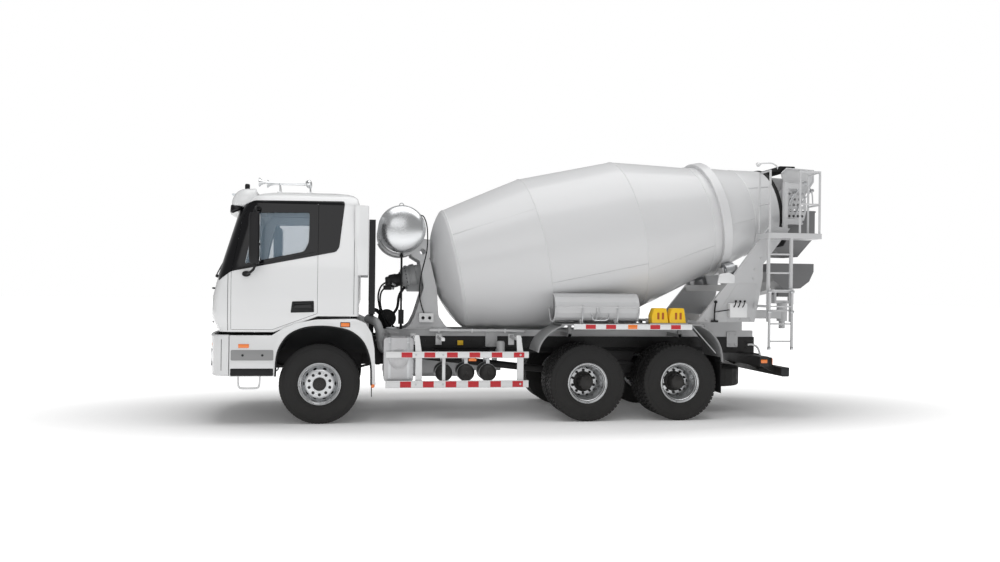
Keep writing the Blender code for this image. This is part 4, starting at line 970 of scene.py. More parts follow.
piece("drum_access_cover", [curved_plate(1.8, 2.28, 2.98, 3.3, 1.184, 0.006)], "drum_body",
    drum_paint, "drum_paint", angle=40)
cover_bolts = []
for s in (1.86, 2.04, 2.22):
    for a in (3.01, 3.27):
        place = on_drum(s, 1.189, a)
        out = (place - (DRUM_AT + DRUM_AXIS * s)).normalized()
        cover_bolts += bolt(place, out, 0.011, 0.009)
piece("drum_cover_bolts", cover_bolts, "drum_body", *STEEL)


# %% Wind the two blades
def blade(phase, turns=2.2):
    """A spiral strip that stands on the inside of the drum and winds towards the mouth."""
    inner_wall = [(0.05, 0.9), (1.3, 1.14), (2.79, 1.145), (4.02, 0.845), (4.76, 0.683),
        (5.2, 0.592)]
    verts, faces = [], []
    steps = 110
    for k in range(steps + 1):
        t = k / steps
        s = 0.25 + (5.12 - 0.25) * t
        r = next(r0 + (r1 - r0) * (s - s0) / (s1 - s0) for (s0, r0), (s1, r1) in zip(inner_wall,
            inner_wall[1:]) if s0 <= s <= s1 + 1e-9)
        a = phase + turns * 2 * math.pi * t
        depth = 0.34 if s < 4.2 else 0.34 - 0.16 * (s - 4.2) / 0.92
        for rr, ss in ((r + 0.004, s - 0.004), (r + 0.004, s + 0.004), (r - depth, s + 0.036),
            (r - depth, s + 0.028)):
            verts.append(on_drum(ss, rr, a))
        if k:
            b, c = 4 * (k - 1), 4 * k
            faces += [(b + j, b + (j + 1) % 4, c + (j + 1) % 4, c + j) for j in range(4)]
    faces += [(3, 2, 1, 0), tuple(4 * steps + j for j in range(4))]
    return verts, faces


piece("drum_blades", [blade(0.0), blade(math.pi)], "drum_body", cast_iron, "drum_paint", angle=50)

# %% [markdown]
# ## Rollers, gear and water tank
# The running ring rests on two steel rollers. The planetary gear stands on the front pedestal and
# ends in the hydraulic motor. The water tank lies across the truck in its saddle.

# %% Make the rollers
for side in (-1, 1):
    label = "left" if side < 0 else "right"
    low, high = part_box("drum_roller_" + label)
    middle = Vector([(a + b) / 2 for a, b in zip(low, high)]) - Vector((AXLE, 0, 0))
    section = [(0, -0.127), (0.028, -0.127), (0.0295, -0.125), (0.0295, -0.074), (0.06, -0.074),
        (0.066, -0.06), (0.108, -0.06), (0.114, -0.074), (0.126, -0.074)]
    section += [(0.1296, -0.07), (0.1296, 0.07), (0.126, 0.074), (0.114, 0.074), (0.108, 0.06),
        (0.066, 0.06), (0.06, 0.074), (0.0295, 0.074), (0.0295, 0.125), (0.028, 0.127), (0, 0.127)]
    piece("roller_" + label + "_turned", [spun(middle, DRUM_AXIS, section, 64)],
        "roller_" + label + "_body", *STEEL, stands_for=("drum_roller_" + label,))

# %% Build the gear and its motor
gear_at = DRUM_AT
gear_shapes = [
    spun(gear_at, DRUM_AXIS, [(0, -0.62), (0.196, -0.62), (0.2, -0.615), (0.2, -0.555),
        (0.192, -0.548), (0.178, -0.545), (0.178, -0.5), (0.171, -0.495), (0.171, -0.455),
        (0.178, -0.45), (0.178, -0.405), (0.16, -0.395), (0.15, -0.372), (0.15, -0.3605),
        (0, -0.3605)], 72),
    spun(gear_at, DRUM_AXIS, [(0, -0.775), (0.12, -0.775), (0.15, -0.765), (0.172, -0.735),
        (0.18, -0.7), (0.198, -0.69), (0.198, -0.66), (0.186, -0.652), (0.186, -0.63),
        (0.198, -0.622), (0.198, -0.6), (0, -0.6)], 72),
]
piece("gear_housing", gear_shapes, "chassis", gear_paint, "dark_metal", bevel=0.002,
    stands_for=("drum_gearbox",))
gear_bolts = ring_of("gear_bolts", bolt(gear_at + DRUM_AXIS * -0.692 + DRUM_DOWN * 0.189,
    -DRUM_AXIS, 0.008, 0.01), 20, gear_at, DRUM_AXIS, cast_iron)
dress(gear_bolts, "chassis", *IRON)
motor_shapes = [
    spun(gear_at, DRUM_AXIS, [(0, -1.015), (0.06, -1.015), (0.078, -1.008), (0.084, -0.99),
        (0.084, -0.96), (0.102, -0.95), (0.104, -0.93), (0.104, -0.85), (0.096, -0.84),
        (0.096, -0.8), (0.118, -0.79), (0.118, -0.77), (0, -0.77)], 48),
    slab(0.88, 1.0, -0.125, 0.125, 1.86, 1.93),
    slab(0.905, 0.985, -0.165, -0.1, 1.93, 2.03),
]
piece("gear_motor", motor_shapes, "chassis", *IRON, bevel=0.006)
piece("gear_foot", [prism("x", [(-0.2, 1.8403), (0.2, 1.8403), (0.17, 1.9), (0.12, 2.02),
    (-0.12, 2.02), (-0.17, 1.9)], 1.24, 1.46)], "chassis", gear_paint, "dark_metal", bevel=0.01)

# %% Roll the water tank
TANK_AT = (1.121, 0, 2.739)
half_tank = [(0, 1.0), (0.08, 0.998), (0.17, 0.984), (0.245, 0.958), (0.298, 0.924), (0.328, 0.89),
    (0.3385, 0.866), (0.34, 0.85), (0.3425, 0.846), (0.3425, 0.838), (0.34, 0.834), (0.34, 0.3),
    (0.3425, 0.296), (0.3425, 0.288), (0.34, 0.284)]
tank_section = half_tank + [(r, -d) for r, d in reversed(half_tank)]
piece("water_tank_shell", [spun(TANK_AT, (0, 1, 0), tank_section, 96)], "chassis", tank_metal,
    "white_paint", angle=24, stands_for=("water_tank",))


def hoop(centre, axis, radius, wire, sides=10, steps=40, span=2 * math.pi, start=0.0):
    """A ring or arc of round wire."""
    u, v, w = spin_frame(axis)
    points = [Vector(centre) + (u * math.cos(start + span * k / steps) + v * math.sin(
        start + span * k / steps)) * radius for k in range(steps + 1)]
    return tube(points, wire, sides, 1)


tank_extras = both(
    hoop((1.121, -0.62, 3.105), (0, 1, 0), 0.03, 0.007),
    slab(1.096, 1.146, -0.632, -0.608, 3.07, 3.084),
    tube([(1.1, -0.945, 2.985), (1.155, -0.958, 2.93), (1.185, -0.955, 2.91)], 0.008, 8, 4),
    spun((1.121, -0.997, 2.739), (0, -1, 0), [(0, -0.01), (0.016, -0.01), (0.016, 0.006),
        (0, 0.008)], 20),
)
tank_extras.append(spun((1.121, 0.0, 3.07), (0, 0, 1), [(0, 0), (0.075, 0), (0.075, 0.045),
    (0.083, 0.048), (0.083, 0.07), (0.06, 0.082), (0, 0.084)], 40))
piece("water_tank_fittings", tank_extras, "chassis", *STEEL, bevel=0.0015)

# %% [markdown]
# ## The cab's shell
# The cab is pressed sheet over a frame. One smooth hull, drawn level by level, gives all of its
# surfaces: the shell is that hull with its inside taken out, a door is what lies within the
# doorway's outline, and the black window bands stand a few millimetres proud of the same hull, so
# nothing can drift apart. The doorways and the windscreen are cut last.

# %% Draw the hull
CAB_LEVELS = [
    (1.27, -1.45, 0.52, 1.2),
    (1.45, -1.55, 0.52, 1.225),
    (1.75, -1.53, 0.52, 1.23),
    (2.0, -1.47, 0.52, 1.23),
    (2.17, -1.42, 0.52, 1.225),
    (2.92, -1.2, 0.52, 1.15),
    (3.05, -1.12, 0.52, 1.13),
    (3.14, -1.03, 0.49, 1.08),
    (3.2, -0.88, 0.4, 0.98),
    (3.23, -0.6, 0.2, 0.7),
]


def cab_level(z):
    """Front, rear and half width of the cab at one height."""
    z = min(max(z, CAB_LEVELS[0][0]), CAB_LEVELS[-1][0])
    for low, high in zip(CAB_LEVELS, CAB_LEVELS[1:]):
        if z <= high[0] + 1e-9:
            t = (z - low[0]) / (high[0] - low[0])
            return [a + (b - a) * t for a, b in zip(low[1:], high[1:])]
    return list(CAB_LEVELS[-1][1:])


def cab_ring(z, grow, lift=0.0):
    """One smooth level of the hull, as points round the cab."""
    if z < 3.0:
        spread = [z - 0.05, z - 0.025, z, z + 0.025, z + 0.05]
    else:
        spread = [z - 0.02, z, z, min(z + 0.02, 3.23)]
    values = [cab_level(s) for s in spread]
    front, rear, half = [sum(v[k] for v in values) / len(values) for k in range(3)]
    f, r, w = front - grow, rear + grow, half + grow
    corner = [(f, 0.0), (f + 0.004, 0.18 * w), (f + 0.015, 0.35 * w), (f + 0.045, 0.65 * w),
        (f + 0.09, 0.86 * w), (f + 0.16, 0.97 * w), (f + 0.29, w)]
    curve = [(p.x, p.y) for p in smooth_path([(x, y, 0) for x, y in corner], 4)]
    curve += [(f + 0.5, w), ((f + r) / 2, w), (r - 0.3, w), (r - 0.12, w), (r - 0.07, w - 0.002)]
    curve += [(r - 0.07 + 0.07 * math.sin(a), w - 0.07 + 0.068 * math.cos(a)) for a in (0.4, 0.8,
        1.2)]
    curve += [(r, w - 0.07), (r, w * 0.6), (r, w * 0.3)]
    ring = [(x, -y, z + lift) for x, y in curve] + [(r, 0.0, z + lift)] + [(x, y, z + lift) for x,
        y in reversed(curve[1:])]
    return ring


LOW_SILL = [(-0.62, 1.1), (-0.62, 1.27), (-0.03, 1.49), (0.8, 1.49), (0.8, 1.1)]


def cab_hull(name, grow):
    """The closed hull, grown outwards or shrunk by a distance, with the wheel-arch slope cut."""
    heights = [1.27] + [1.3 + 0.055 * k for k in range(31)] + [3.01, 3.03, 3.05, 3.075, 3.1, 3.12,
        3.14, 3.16, 3.18, 3.2, 3.215, 3.23]
    verts, faces = [], []
    for z in heights:
        lift = 0.0
        if z < 1.28:
            lift = -grow
        elif z > 2.95:
            lift = grow * (z - 2.95) / 0.28
        verts += cab_ring(z, grow, lift)
    n = len(cab_ring(2.0, 0))
    for k in range(len(heights) - 1):
        for i in range(n):
            j = (i + 1) % n
            faces.append((k * n + i, k * n + j, (k + 1) * n + j, (k + 1) * n + i))
    faces.append(tuple(range(n - 1, -1, -1)))
    top = (len(heights) - 1) * n
    verts.append((-0.2, 0, 3.236 + grow))
    faces += [(top + i, top + (i + 1) % n, len(verts) - 1) for i in range(n)]
    hull = gather(name, [(verts, faces)])
    return carve_all(hull, [prism("y", [(x, z - grow) for x, z in LOW_SILL], -1.4, 1.4)])


def copied(obj, name):
    other = bpy.data.objects.new(name, obj.data.copy())
    bpy.context.scene.collection.objects.link(other)
    return other


def minus(obj, other):
    """Take one mesh away from another, and drop it."""
    op = obj.modifiers.new("hollow", "BOOLEAN")
    op.operation = "DIFFERENCE"
    op.solver = "EXACT"
    op.object = other
    settle(obj)
    bpy.data.objects.remove(other, do_unlink=True)
    return obj


cab_skin = minus(cab_hull("cab_skin", 0.0), cab_hull("cab_room", -0.046))
window_band = minus(cab_hull("window_band", 0.0045), cab_hull("band_inside", -0.01))
print("hull faces", len(cab_skin.data.polygons))

# %% Outlines of the doorway, the panes and the black bands
DOORWAY = [(-1.185, 1.3), (-1.185, 2.06), (-1.06, 2.8), (-0.95, 3.035), (-0.035, 3.035),
    (-0.035, 1.525), (-0.6, 1.315), (-0.64, 1.3)]


def shrunk(outline, dist):
    """A convex outline drawn in by a distance."""
    n = len(outline)
    area = sum(outline[i][0] * outline[(i + 1) % n][1] - outline[(i + 1) % n][0] * outline[i][1]
        for i in range(n))
    sign = 1 if area > 0 else -1
    lines = []
    for i in range(n):
        a, b = Vector(outline[i]), Vector(outline[(i + 1) % n])
        run = (b - a).normalized()
        lines.append((a + Vector((-run.y, run.x)) * dist * sign, run))
    result = []
    for i in range(n):
        (p, u), (q, v) = lines[i - 1], lines[i]
        t = ((q - p).x * v.y - (q - p).y * v.x) / (u.x * v.y - u.y * v.x)
        result.append(tuple(p + u * t))
    return result


def rounded(outline, radius, steps=5):
    """The outline with each corner turned into a small curve."""
    n = len(outline)
    points = []
    for i in range(n):
        before, here, after = Vector(outline[i - 1]), Vector(outline[i]), Vector(
            outline[(i + 1) % n])
        cut_in = min(radius, (before - here).length * 0.45, (after - here).length * 0.45)
        a = here + (before - here).normalized() * cut_in
        b = here + (after - here).normalized() * cut_in
        for k in range(steps + 1):
            t = k / steps
            points.append(tuple(a * (1 - t) ** 2 + here * 2 * t * (1 - t) + b * t ** 2))
    return points


PANE = rounded([(-1.025, 2.178), (-0.95, 2.58), (-0.85, 2.908), (-0.142, 2.925), (-0.15, 2.5),
    (-0.215, 2.362), (-0.56, 2.285)], 0.045)
BAND = rounded([(-1.365, 1.96), (-1.325, 2.17), (-1.205, 2.56), (-1.13, 2.86), (-1.055, 3.0),
    (-0.9, 3.068), (0.305, 3.085), (0.318, 3.05), (0.25, 2.44), (0.205, 2.376), (-1.18, 2.092)],
    0.03)
SCREEN = rounded([(-1.01, 2.115), (1.01, 2.115), (0.94, 2.905), (-0.94, 2.905)], 0.07)
SCREEN_BAND = rounded([(-1.15, 2.005), (1.15, 2.005), (1.06, 2.965), (-1.06, 2.965)], 0.05)

# %% Cut the shell, the doors and the bands
ROOM_FLOOR = [(-1.6, 1.0), (-1.6, 1.34), (-0.62, 1.34), (-0.03, 1.56), (0.4, 1.56), (0.4, 1.0)]


def doorway(margin):
    """The two cutters of the left doorway: its outline, and the floor that stays with the cab."""
    return prism("y", shrunk(DOORWAY, margin), -1.5, -0.96), prism("y", ROOM_FLOOR,
        -1.165 - margin, -0.9)


def cut_door(source, name, margin):
    door = copied(source, name)
    keep(door, doorway(margin)[0])
    return carve_all(door, [doorway(margin)[1]])


door_skin = cut_door(cab_skin, "door_skin_left", 0.0045)
carve_all(door_skin, [prism("y", PANE, -1.5, -0.9)])
band = copied(window_band, "cab_band_left")
keep(band, prism("y", BAND, -1.5, -0.5))
carve_all(band, [prism("y", shrunk(PANE, 0.012), -1.5, -0.5)])
door_band = copied(band, "door_band_left")
keep(door_band, doorway(0.0045)[0])
carve_all(band, [doorway(0.0)[0]])
screen_band = copied(window_band, "screen_band")
keep(screen_band, prism("x", SCREEN_BAND, -1.75, -1.02))
carve_all(screen_band, [prism("x", SCREEN, -1.75, -0.9)])
pane_shell = minus(cab_hull("pane_shell", -0.014), cab_hull("pane_inside", -0.019))
pane = copied(pane_shell, "door_pane_left")
keep(pane, prism("y", shrunk(PANE, -0.01), -1.5, -0.95))
screen = pane_shell
screen.name = "windscreen_pane"
keep(screen, prism("x", [(y * 1.015, 2.51 + (z - 2.51) * 1.03) for y, z in SCREEN], -1.75, -0.95))
bpy.data.objects.remove(window_band, do_unlink=True)

for side in (-1, 1):
    opening = doorway(0.0)
    for part in opening[:1]:
        shape = part if side < 0 else flipped(part)
        hole = gather("doorway", [shape])
        carve_all(hole, [opening[1] if side < 0 else flipped(opening[1])])
        minus(cab_skin, hole)
carve_all(cab_skin, [prism("x", SCREEN, -1.75, -0.9)])
dress(cab_skin, "cab", *WHITE, 28, ("cab_shell", "cab_roof"))
dress(screen_band, "cab", *GLOSS_TRIM, 28)
dress(screen, "cab", screen_glass, "glass", 28, ("windscreen",))
for part, mat, slot_name, node_name in (
    (door_skin, *WHITE, "door_"),
    (door_band, *GLOSS_TRIM, None),
    (pane, pane_glass, "glass", "door_glass_"),
    (band, *GLOSS_TRIM, None),
):
    other = twin(part, part.name.replace("left", "right"))
    for label, obj in (("left", part), ("right", other)):
        body = "cab" if part is band else "door_" + label + "_body"
        dress(obj, body, mat, slot_name, 28, (node_name + label,) if node_name else ())
print("cab shell", len(cab_skin.data.polygons), "door", len(door_skin.data.polygons))

# %% [markdown]
# ## Cab details
# Pressed lines and small fittings carry most of the likeness: the recessed door handle, the seal
# round each pane, the lamp and reflector, the brow with its dark visor over the windscreen, the
# air deflector behind the cab, the long mirror on two arms, and a pair of trumpets on the roof.
# To stick flat things to a curved hull, a ray is shot at it from the side.

# %% Find the hull under a point
hull_probe = cab_hull("hull_probe", 0.0)
hull_tree = BVHTree.FromPolygons([v.co.copy() for v in hull_probe.data.vertices],
    [tuple(p.vertices) for p in hull_probe.data.polygons])
bpy.data.objects.remove(hull_probe, do_unlink=True)


def hull_y(x, z):
    """How far out the left side of the hull is at a point."""
    hit = hull_tree.ray_cast(Vector((x + AXLE, -3, z)), Vector((0, 1, 0)))
    return hit[0].y if hit[0] else -1.0


def hull_x(y, z):
    """How far forward the hull is at a point of its front."""
    hit = hull_tree.ray_cast(Vector((AXLE - 4, y, z)), Vector((1, 0, 0)))
    return hit[0].x - AXLE if hit[0] else -1.0


def badge(outline, proud, sunk=0.006, side="left"):
    """A thin plate that lies on the hull: its outline is drawn in X and Z (left) or Y and Z (front)."""
    rim = rounded(outline, 0.012, 3)
    n = len(rim)
    if side == "left":
        outer = [(u, hull_y(u, v) - proud, v) for u, v in rim]
        inner = [(u, hull_y(u, v) + sunk, v) for u, v in rim]
    else:
        outer = [(hull_x(u, v) - proud, u, v) for u, v in rim]
        inner = [(hull_x(u, v) + sunk, u, v) for u, v in rim]
    faces = [tuple(range(n)), tuple(range(2 * n - 1, n - 1, -1))]
    faces += [(i, (i + 1) % n, n + (i + 1) % n, n + i) for i in range(n)]
    return outer + inner, faces


def box_outline(a, b, c, d):
    return [(a, c), (b, c), (b, d), (a, d)]


def pair_of(name, shapes, bodies, mat, slot=None, bevel=0.0, angle=32, stands_for=None):
    """The same piece on the left and the right."""
    obj = gather(name + "_left", shapes)
    if bevel:
        round_edges(obj, bevel)
    other = twin(obj, name + "_right")
    for label, part, body in (("left", obj, bodies[0]), ("right", other, bodies[1])):
        dress(part, body, mat, slot, angle, (stands_for + label,) if stands_for else ())
    return obj, other


DOORS = ("door_left_body", "door_right_body")
CAB = ("cab", "cab")
CHASSIS = ("chassis", "chassis")

# %% Fit the door's handle, seals and mouldings
handle_frame = [badge([(-0.395, 1.535), (-0.375, 1.69), (-0.085, 1.7), (-0.08, 1.545)], 0.005)]
pair_of("door_handle_dish", handle_frame, DOORS, *BLACK_TRIM, 0.003)
grip = [
    prism("y", rounded([(-0.355, 1.6), (-0.345, 1.672), (-0.115, 1.678), (-0.11, 1.604)], 0.02),
        hull_y(-0.23, 1.64) - 0.017, hull_y(-0.23, 1.64) - 0.003),
    spun((-0.1, hull_y(-0.1, 1.57) - 0.004, 1.575), (0, -1, 0), [(0, -0.004), (0.012, -0.004),
        (0.012, 0.004), (0.009, 0.006), (0, 0.006)], 20),
]
pair_of("door_handle", grip, DOORS, *GLOSS_TRIM, 0.004)
seal = [(x, hull_y(x, z) + 0.004, z) for x, z in shrunk(PANE, 0.006)]
pair_of("pane_seal", [tube(seal + seal[:1], 0.0085, 8, 1)], DOORS, *BLACK_TRIM)
waist = [(x, hull_y(x, z) - 0.004, z) for x, z in [(-1.165 + 0.06 * k, 2.108 + 0.0144 * k)
    for k in range(19)]]
pair_of("door_waist_strip", [tube(waist, 0.006, 6, 1)], DOORS, *BLACK_TRIM)
shut_line = [(x, hull_y(x, z) + 0.01, z) for x, z in rounded(shrunk(DOORWAY, 0.0022), 0.03, 4)]
pair_of("door_seal", [tube(shut_line + shut_line[:1], 0.0058, 6, 1)], CAB, *SOFT_BLACK)

# %% Draw the cab's seams
SILL_Z = 1.489
sill_line = [(x, hull_y(x, SILL_Z) - 0.0008, SILL_Z) for x in (-0.02 + 0.04 * k
    for k in range(13))]
upright = [(0.456, hull_y(0.44, z) - 0.0006, z) for z in (1.52 + 0.08 * k for k in range(19))]
back_seams = [tube(sill_line, 0.0028, 6, 1), tube(upright, 0.0026, 6, 1)]
pair_of("cab_seams", back_seams, CAB, *BLACK_TRIM)
front_line = [(-1.225, hull_y(-1.225, z) - 0.0006, z) for z in (1.29 + 0.04 * k
    for k in range(20))]
pair_of("corner_seam", [tube(front_line, 0.0032, 6, 1)], CAB, *BLACK_TRIM)

# %% Shape the brow and the visor over the windscreen
BROW = [(-0.93, 3.02), (-1.06, 2.985), (-1.235, 2.985), (-1.268, 3.015), (-1.262, 3.085),
    (-1.225, 3.16), (-1.165, 3.215), (-1.09, 3.238), (-1.0, 3.24), (-0.935, 3.225)]


def across(section, half, ends=0.1, bow=0.1, steps=28):
    """A section in X and Z carried across the cab, bowed back and closing in at both ends."""
    verts, faces = [], []
    n = len(section)
    mid_x = sum(p[0] for p in section) / n
    mid_z = min(p[1] for p in section) + 0.06
    for k in range(steps + 1):
        t = -1 + 2 * k / steps
        y = half * math.sin(t * math.pi / 2)
        u = abs(y) / half
        back = bow * u ** 3
        near = max(0.0, (abs(y) - (half - ends)) / ends)
        size = math.sqrt(max(0.0, 1 - near ** 2)) * 0.75 + 0.25
        for x, z in section:
            verts.append((mid_x + (x - mid_x) * size + back, y, mid_z + (z - mid_z) * size))
        if k:
            b, c = n * (k - 1), n * k
            faces += [(b + j, b + (j + 1) % n, c + (j + 1) % n, c + j) for j in range(n)]
    faces += [tuple(range(n - 1, -1, -1)), tuple(range(n * steps, n * steps + n))]
    return verts, faces


brow_section = [(p.x, p.y) for p in smooth_path([(x, z, 0) for x, z in BROW + BROW[:1]], 3)][:-1]
piece("cab_brow", [across(brow_section, 1.075, 0.12, 0.06)], "cab", *WHITE, angle=50)
visor_section = rounded([(-1.295, 2.905), (-1.262, 2.892), (-1.13, 2.952), (-1.13, 3.01),
    (-1.285, 3.012)], 0.02, 3)
piece("sun_visor", [across(visor_section, 1.05, 0.05, 0.06)], "cab", *GLOSS_TRIM, angle=40)
piece("roof_hatch", [prism("z", rounded(box_outline(-0.62, -0.02, -0.36, 0.36), 0.06), 3.225,
    3.262)], "cab", *WHITE, bevel=0.01)
roof_beads = []
for y in (-0.82, -0.66, -0.5, 0.5, 0.66, 0.82):
    roof_beads.append(tube([(-0.62, y, 3.208 if abs(y) > 0.7 else 3.224), (-0.3, y, 3.212
        if abs(y) > 0.7 else 3.228), (0.14, y, 3.21 if abs(y) > 0.7 else 3.226)], 0.009, 8, 4))
piece("roof_beads", roof_beads, "cab", *WHITE, angle=60)
brow_lamps = []
for y in (-0.8, -0.28, 0.28, 0.8):
    brow_lamps.append(prism("z", rounded(box_outline(-1.248, -1.175, y - 0.055, y + 0.055), 0.02),
        3.158, 3.182))
piece("brow_lamps", brow_lamps, "cab", clear_lens, "glass", bevel=0.006)


# %% Turn the roof trumpets
def trumpet(x_bell, x_end, y, z, mouth):
    """A horn bell that flares towards the front, with its stem."""
    run = x_end - x_bell
    section = [(0, 0.012), (mouth * 0.35, 0.014), (mouth * 0.96, -0.002), (mouth, 0.002),
        (mouth, 0.006), (mouth * 0.62, 0.03), (mouth * 0.4, 0.06), (mouth * 0.24, 0.11),
        (mouth * 0.2, 0.2), (mouth * 0.17, run), (0, run)]
    return spun((x_bell, y, z), (1, 0, 0), section, 40)


horns = []
for y, x0, mouth in ((-0.72, -0.895, 0.064), (-0.56, -0.8, 0.056)):
    horns.append(trumpet(x0, -0.24, y, 3.366, mouth))
    horns.append(spun((-0.25, y, 3.366), (1, 0, 0), [(0, 0), (0.026, 0), (0.046, 0.02),
        (0.052, 0.05), (0.052, 0.066), (0.04, 0.076), (0, 0.08)], 32))
    for x in (-0.62, -0.2):
        horns.append(tube([(x, y, 3.352), (x + 0.012, y, 3.3), (x + 0.012, y, 3.238)], 0.007, 8,
            3))
        horns.append(slab(x - 0.02, x + 0.045, y - 0.02, y + 0.02, 3.222, 3.238))
piece("roof_trumpets", horns, "cab", chrome, "bare_metal", bevel=0.001, angle=45)
lamp_stalk = [
    spun((-1.035, -0.86, 3.262), (0, 0, 1), [(0, -0.03), (0.03, -0.03), (0.034, 0.0),
        (0.034, 0.04), (0.026, 0.056), (0, 0.06)], 28),
    tube([(-0.99, -0.86, 3.2), (-1.0, -0.86, 3.24), (-1.03, -0.86, 3.262)], 0.012, 8, 3),
]
piece("roof_camera", lamp_stalk, "cab", *BLACK_TRIM, bevel=0.003)

# %% Fold the air deflectors behind the cab
deflector = prism("z", rounded([(0.455, -1.195), (0.525, -1.2), (0.645, -1.15), (0.652, -1.118),
    (0.635, -1.112), (0.52, -1.16), (0.455, -1.165)], 0.01, 2), 2.06, 3.03)
pair_of("air_deflector", [deflector], CAB, *WHITE, 0.008)
rear_wall = [slab(0.516, 0.528, -0.98 + 0.28 * k, -0.98 + 0.28 * k + 0.1, 1.66, 2.95)
    for k in range(8)]
piece("rear_wall_beads", rear_wall, "cab", *WHITE, bevel=0.006)
piece("rear_window", [slab(0.519, 0.531, -0.42, 0.42, 2.3, 2.78)], "cab", *GLOSS_TRIM, bevel=0.005)

# %% Make the mirrors
housing_rings = []
for k in range(13):
    t = k / 12
    z = 2.195 + 0.675 * t
    swell = (1 - (2 * t - 1) ** 6) ** 0.5 * 0.16 + 0.84 if 0 < k < 12 else 0.8
    ring = []
    for j in range(24):
        a = 2 * math.pi * j / 24
        cx, cy = math.cos(a), math.sin(a)
        px = 0.066 * math.copysign(abs(cx) ** 0.6, cx) * swell - (0.012 if cx < 0 else 0)
        py = 0.088 * math.copysign(abs(cy) ** 0.55, cy) * swell
        ring.append((-0.845 + px - 0.006 * t, -1.428 + py, z))
    housing_rings.append(ring)
verts = [p for ring in housing_rings for p in ring]
faces = [tuple(range(23, -1, -1)), tuple(range(12 * 24, 13 * 24))]
faces += [(24 * k + j, 24 * k + (j + 1) % 24, 24 * k + 24 + (j + 1) % 24, 24 * k + 24 + j)
    for k in range(12) for j in range(24)]
mirror_arms = [
    tube([(-0.845, -1.165, 2.95), (-0.845, -1.24, 2.962), (-0.848, -1.36, 2.955), (-0.85, -1.428,
        2.915), (-0.85, -1.428, 2.86)], 0.014, 12, 5),
    tube([(-0.99, -1.235, 2.06), (-0.965, -1.3, 2.06), (-0.9, -1.4, 2.085), (-0.858, -1.428, 2.13),
        (-0.855, -1.428, 2.2)], 0.017, 12, 5),
    prism("y", rounded([(-1.035, 2.035), (-0.985, 2.015), (-0.93, 2.035), (-0.925, 2.08),
        (-0.975, 2.098), (-1.03, 2.085)], 0.02, 3), -1.275, hull_y(-0.98, 2.06) + 0.004),
    prism("y", rounded(box_outline(-0.88, -0.812, 2.93, 2.978), 0.012, 3), -1.19, hull_y(-0.85,
        2.95) + 0.004),
    spun((-0.852, -1.428, 2.885), (0, 0, 1), [(0, -0.03), (0.026, -0.03), (0.026, 0.02),
        (0.02, 0.03), (0, 0.03)], 20),
    spun((-0.855, -1.428, 2.165), (0, 0, 1), [(0, -0.02), (0.028, -0.02), (0.032, 0.0),
        (0.03, 0.04), (0, 0.04)], 20),
]
pair_of("mirror_housing", [(verts, faces)] + mirror_arms, DOORS, *BLACK_TRIM, angle=50,
    stands_for="mirror_")
mirror_glass = [
    prism("x", rounded(box_outline(-1.5, -1.356, 2.46, 2.845), 0.025), -0.781, -0.7765),
    prism("x", rounded(box_outline(-1.5, -1.356, 2.225, 2.435), 0.025), -0.781, -0.7765),
]
pair_of("mirror_glass", mirror_glass, DOORS, chrome, "glass", 0.001)

# %% [markdown]
# ## The cab's face
# The front shows only from other sides, but it has to be as true as the rest: a dark grille with
# slats, a panel seam, wipers laid across the screen, lamps in the bumper's corners, a blank plate
# and a towing eye on each side. The grille's slats are one slat, repeated by the row tree.

# %% Fit the grille and the wipers
grille_back = badge([(-0.82, 1.345), (0.82, 1.345), (0.86, 1.76), (-0.86, 1.76)], 0.006,
    side="front")
piece("grille_panel", [grille_back], "cab", *BLACK_TRIM, bevel=0.003)
slat_points = [(hull_x(y, 1.39) - 0.014, y, 1.39) for y in (-0.78 + 0.065 * k for k in range(25))]
slats = row_of("grille_slats", [tube(slat_points, 0.014, 8, 1)], 6, (0.005, 0, 0.066),
    dark_plastic)
dress(slats, "cab", *DARK_TRIM, 60)
lid_line = [(hull_x(y, 1.93) - 0.0006, y, 1.93) for y in (-1.05 + 0.07 * k for k in range(31))]
lid_low = [(hull_x(y, 1.315) - 0.0006, y, 1.315) for y in (-1.05 + 0.07 * k for k in range(31))]
piece("front_lid_seams", [tube(lid_line, 0.004, 6, 1), tube(lid_low, 0.004, 6, 1)], "cab",
    *BLACK_TRIM)
wiper_shapes = []
for y0, tip in ((-0.86, -0.24), (-0.1, 0.52), (0.62, 0.06)):
    pivot = (hull_x(y0, 2.03) - 0.022, y0, 2.03)
    mid = (hull_x(tip, 2.36) - 0.032, tip, 2.36)
    wiper_shapes.append(tube([pivot, (hull_x(y0, 2.07) - 0.04, y0 + (tip - y0) * 0.1, 2.07), mid],
        0.008, 8, 5))
    wiper_shapes.append(spun(pivot, (-1, 0, 0.3), [(0, -0.02), (0.022, -0.02), (0.022, 0.01),
        (0.014, 0.02), (0, 0.02)], 20))
    blade_points = [(hull_x(tip + 0.06 * (k - 4), 2.36 + 0.062 * (k - 4)) - 0.013,
        tip + 0.06 * (k - 4), 2.36 + 0.062 * (k - 4)) for k in range(9)]
    wiper_shapes.append(tube(blade_points, 0.007, 6, 1))
piece("wipers", wiper_shapes, "cab", *BLACK_TRIM, angle=50)
piece("front_grab_handles", both(tube([(hull_x(-0.7, 1.86) + 0.004, -0.7, 1.855),
    (hull_x(-0.7, 1.86) - 0.045, -0.7, 1.86), (hull_x(-0.5, 1.86) - 0.045, -0.5, 1.86),
    (hull_x(-0.5, 1.86) + 0.004, -0.5, 1.855)], 0.012, 10, 4)), "cab", *BLACK_TRIM)

# %% [markdown]
# ## Inside the cab
# Through the panes one sees the seats, the wheel and the far windows, so the room is fitted out:
# padded seats with sewn channels, a soft dashboard, a rim with three spokes, and a pale lining
# overhead. A cushion is a closed crowned form: full in the middle, drawn in at its edges and at
# each seam.


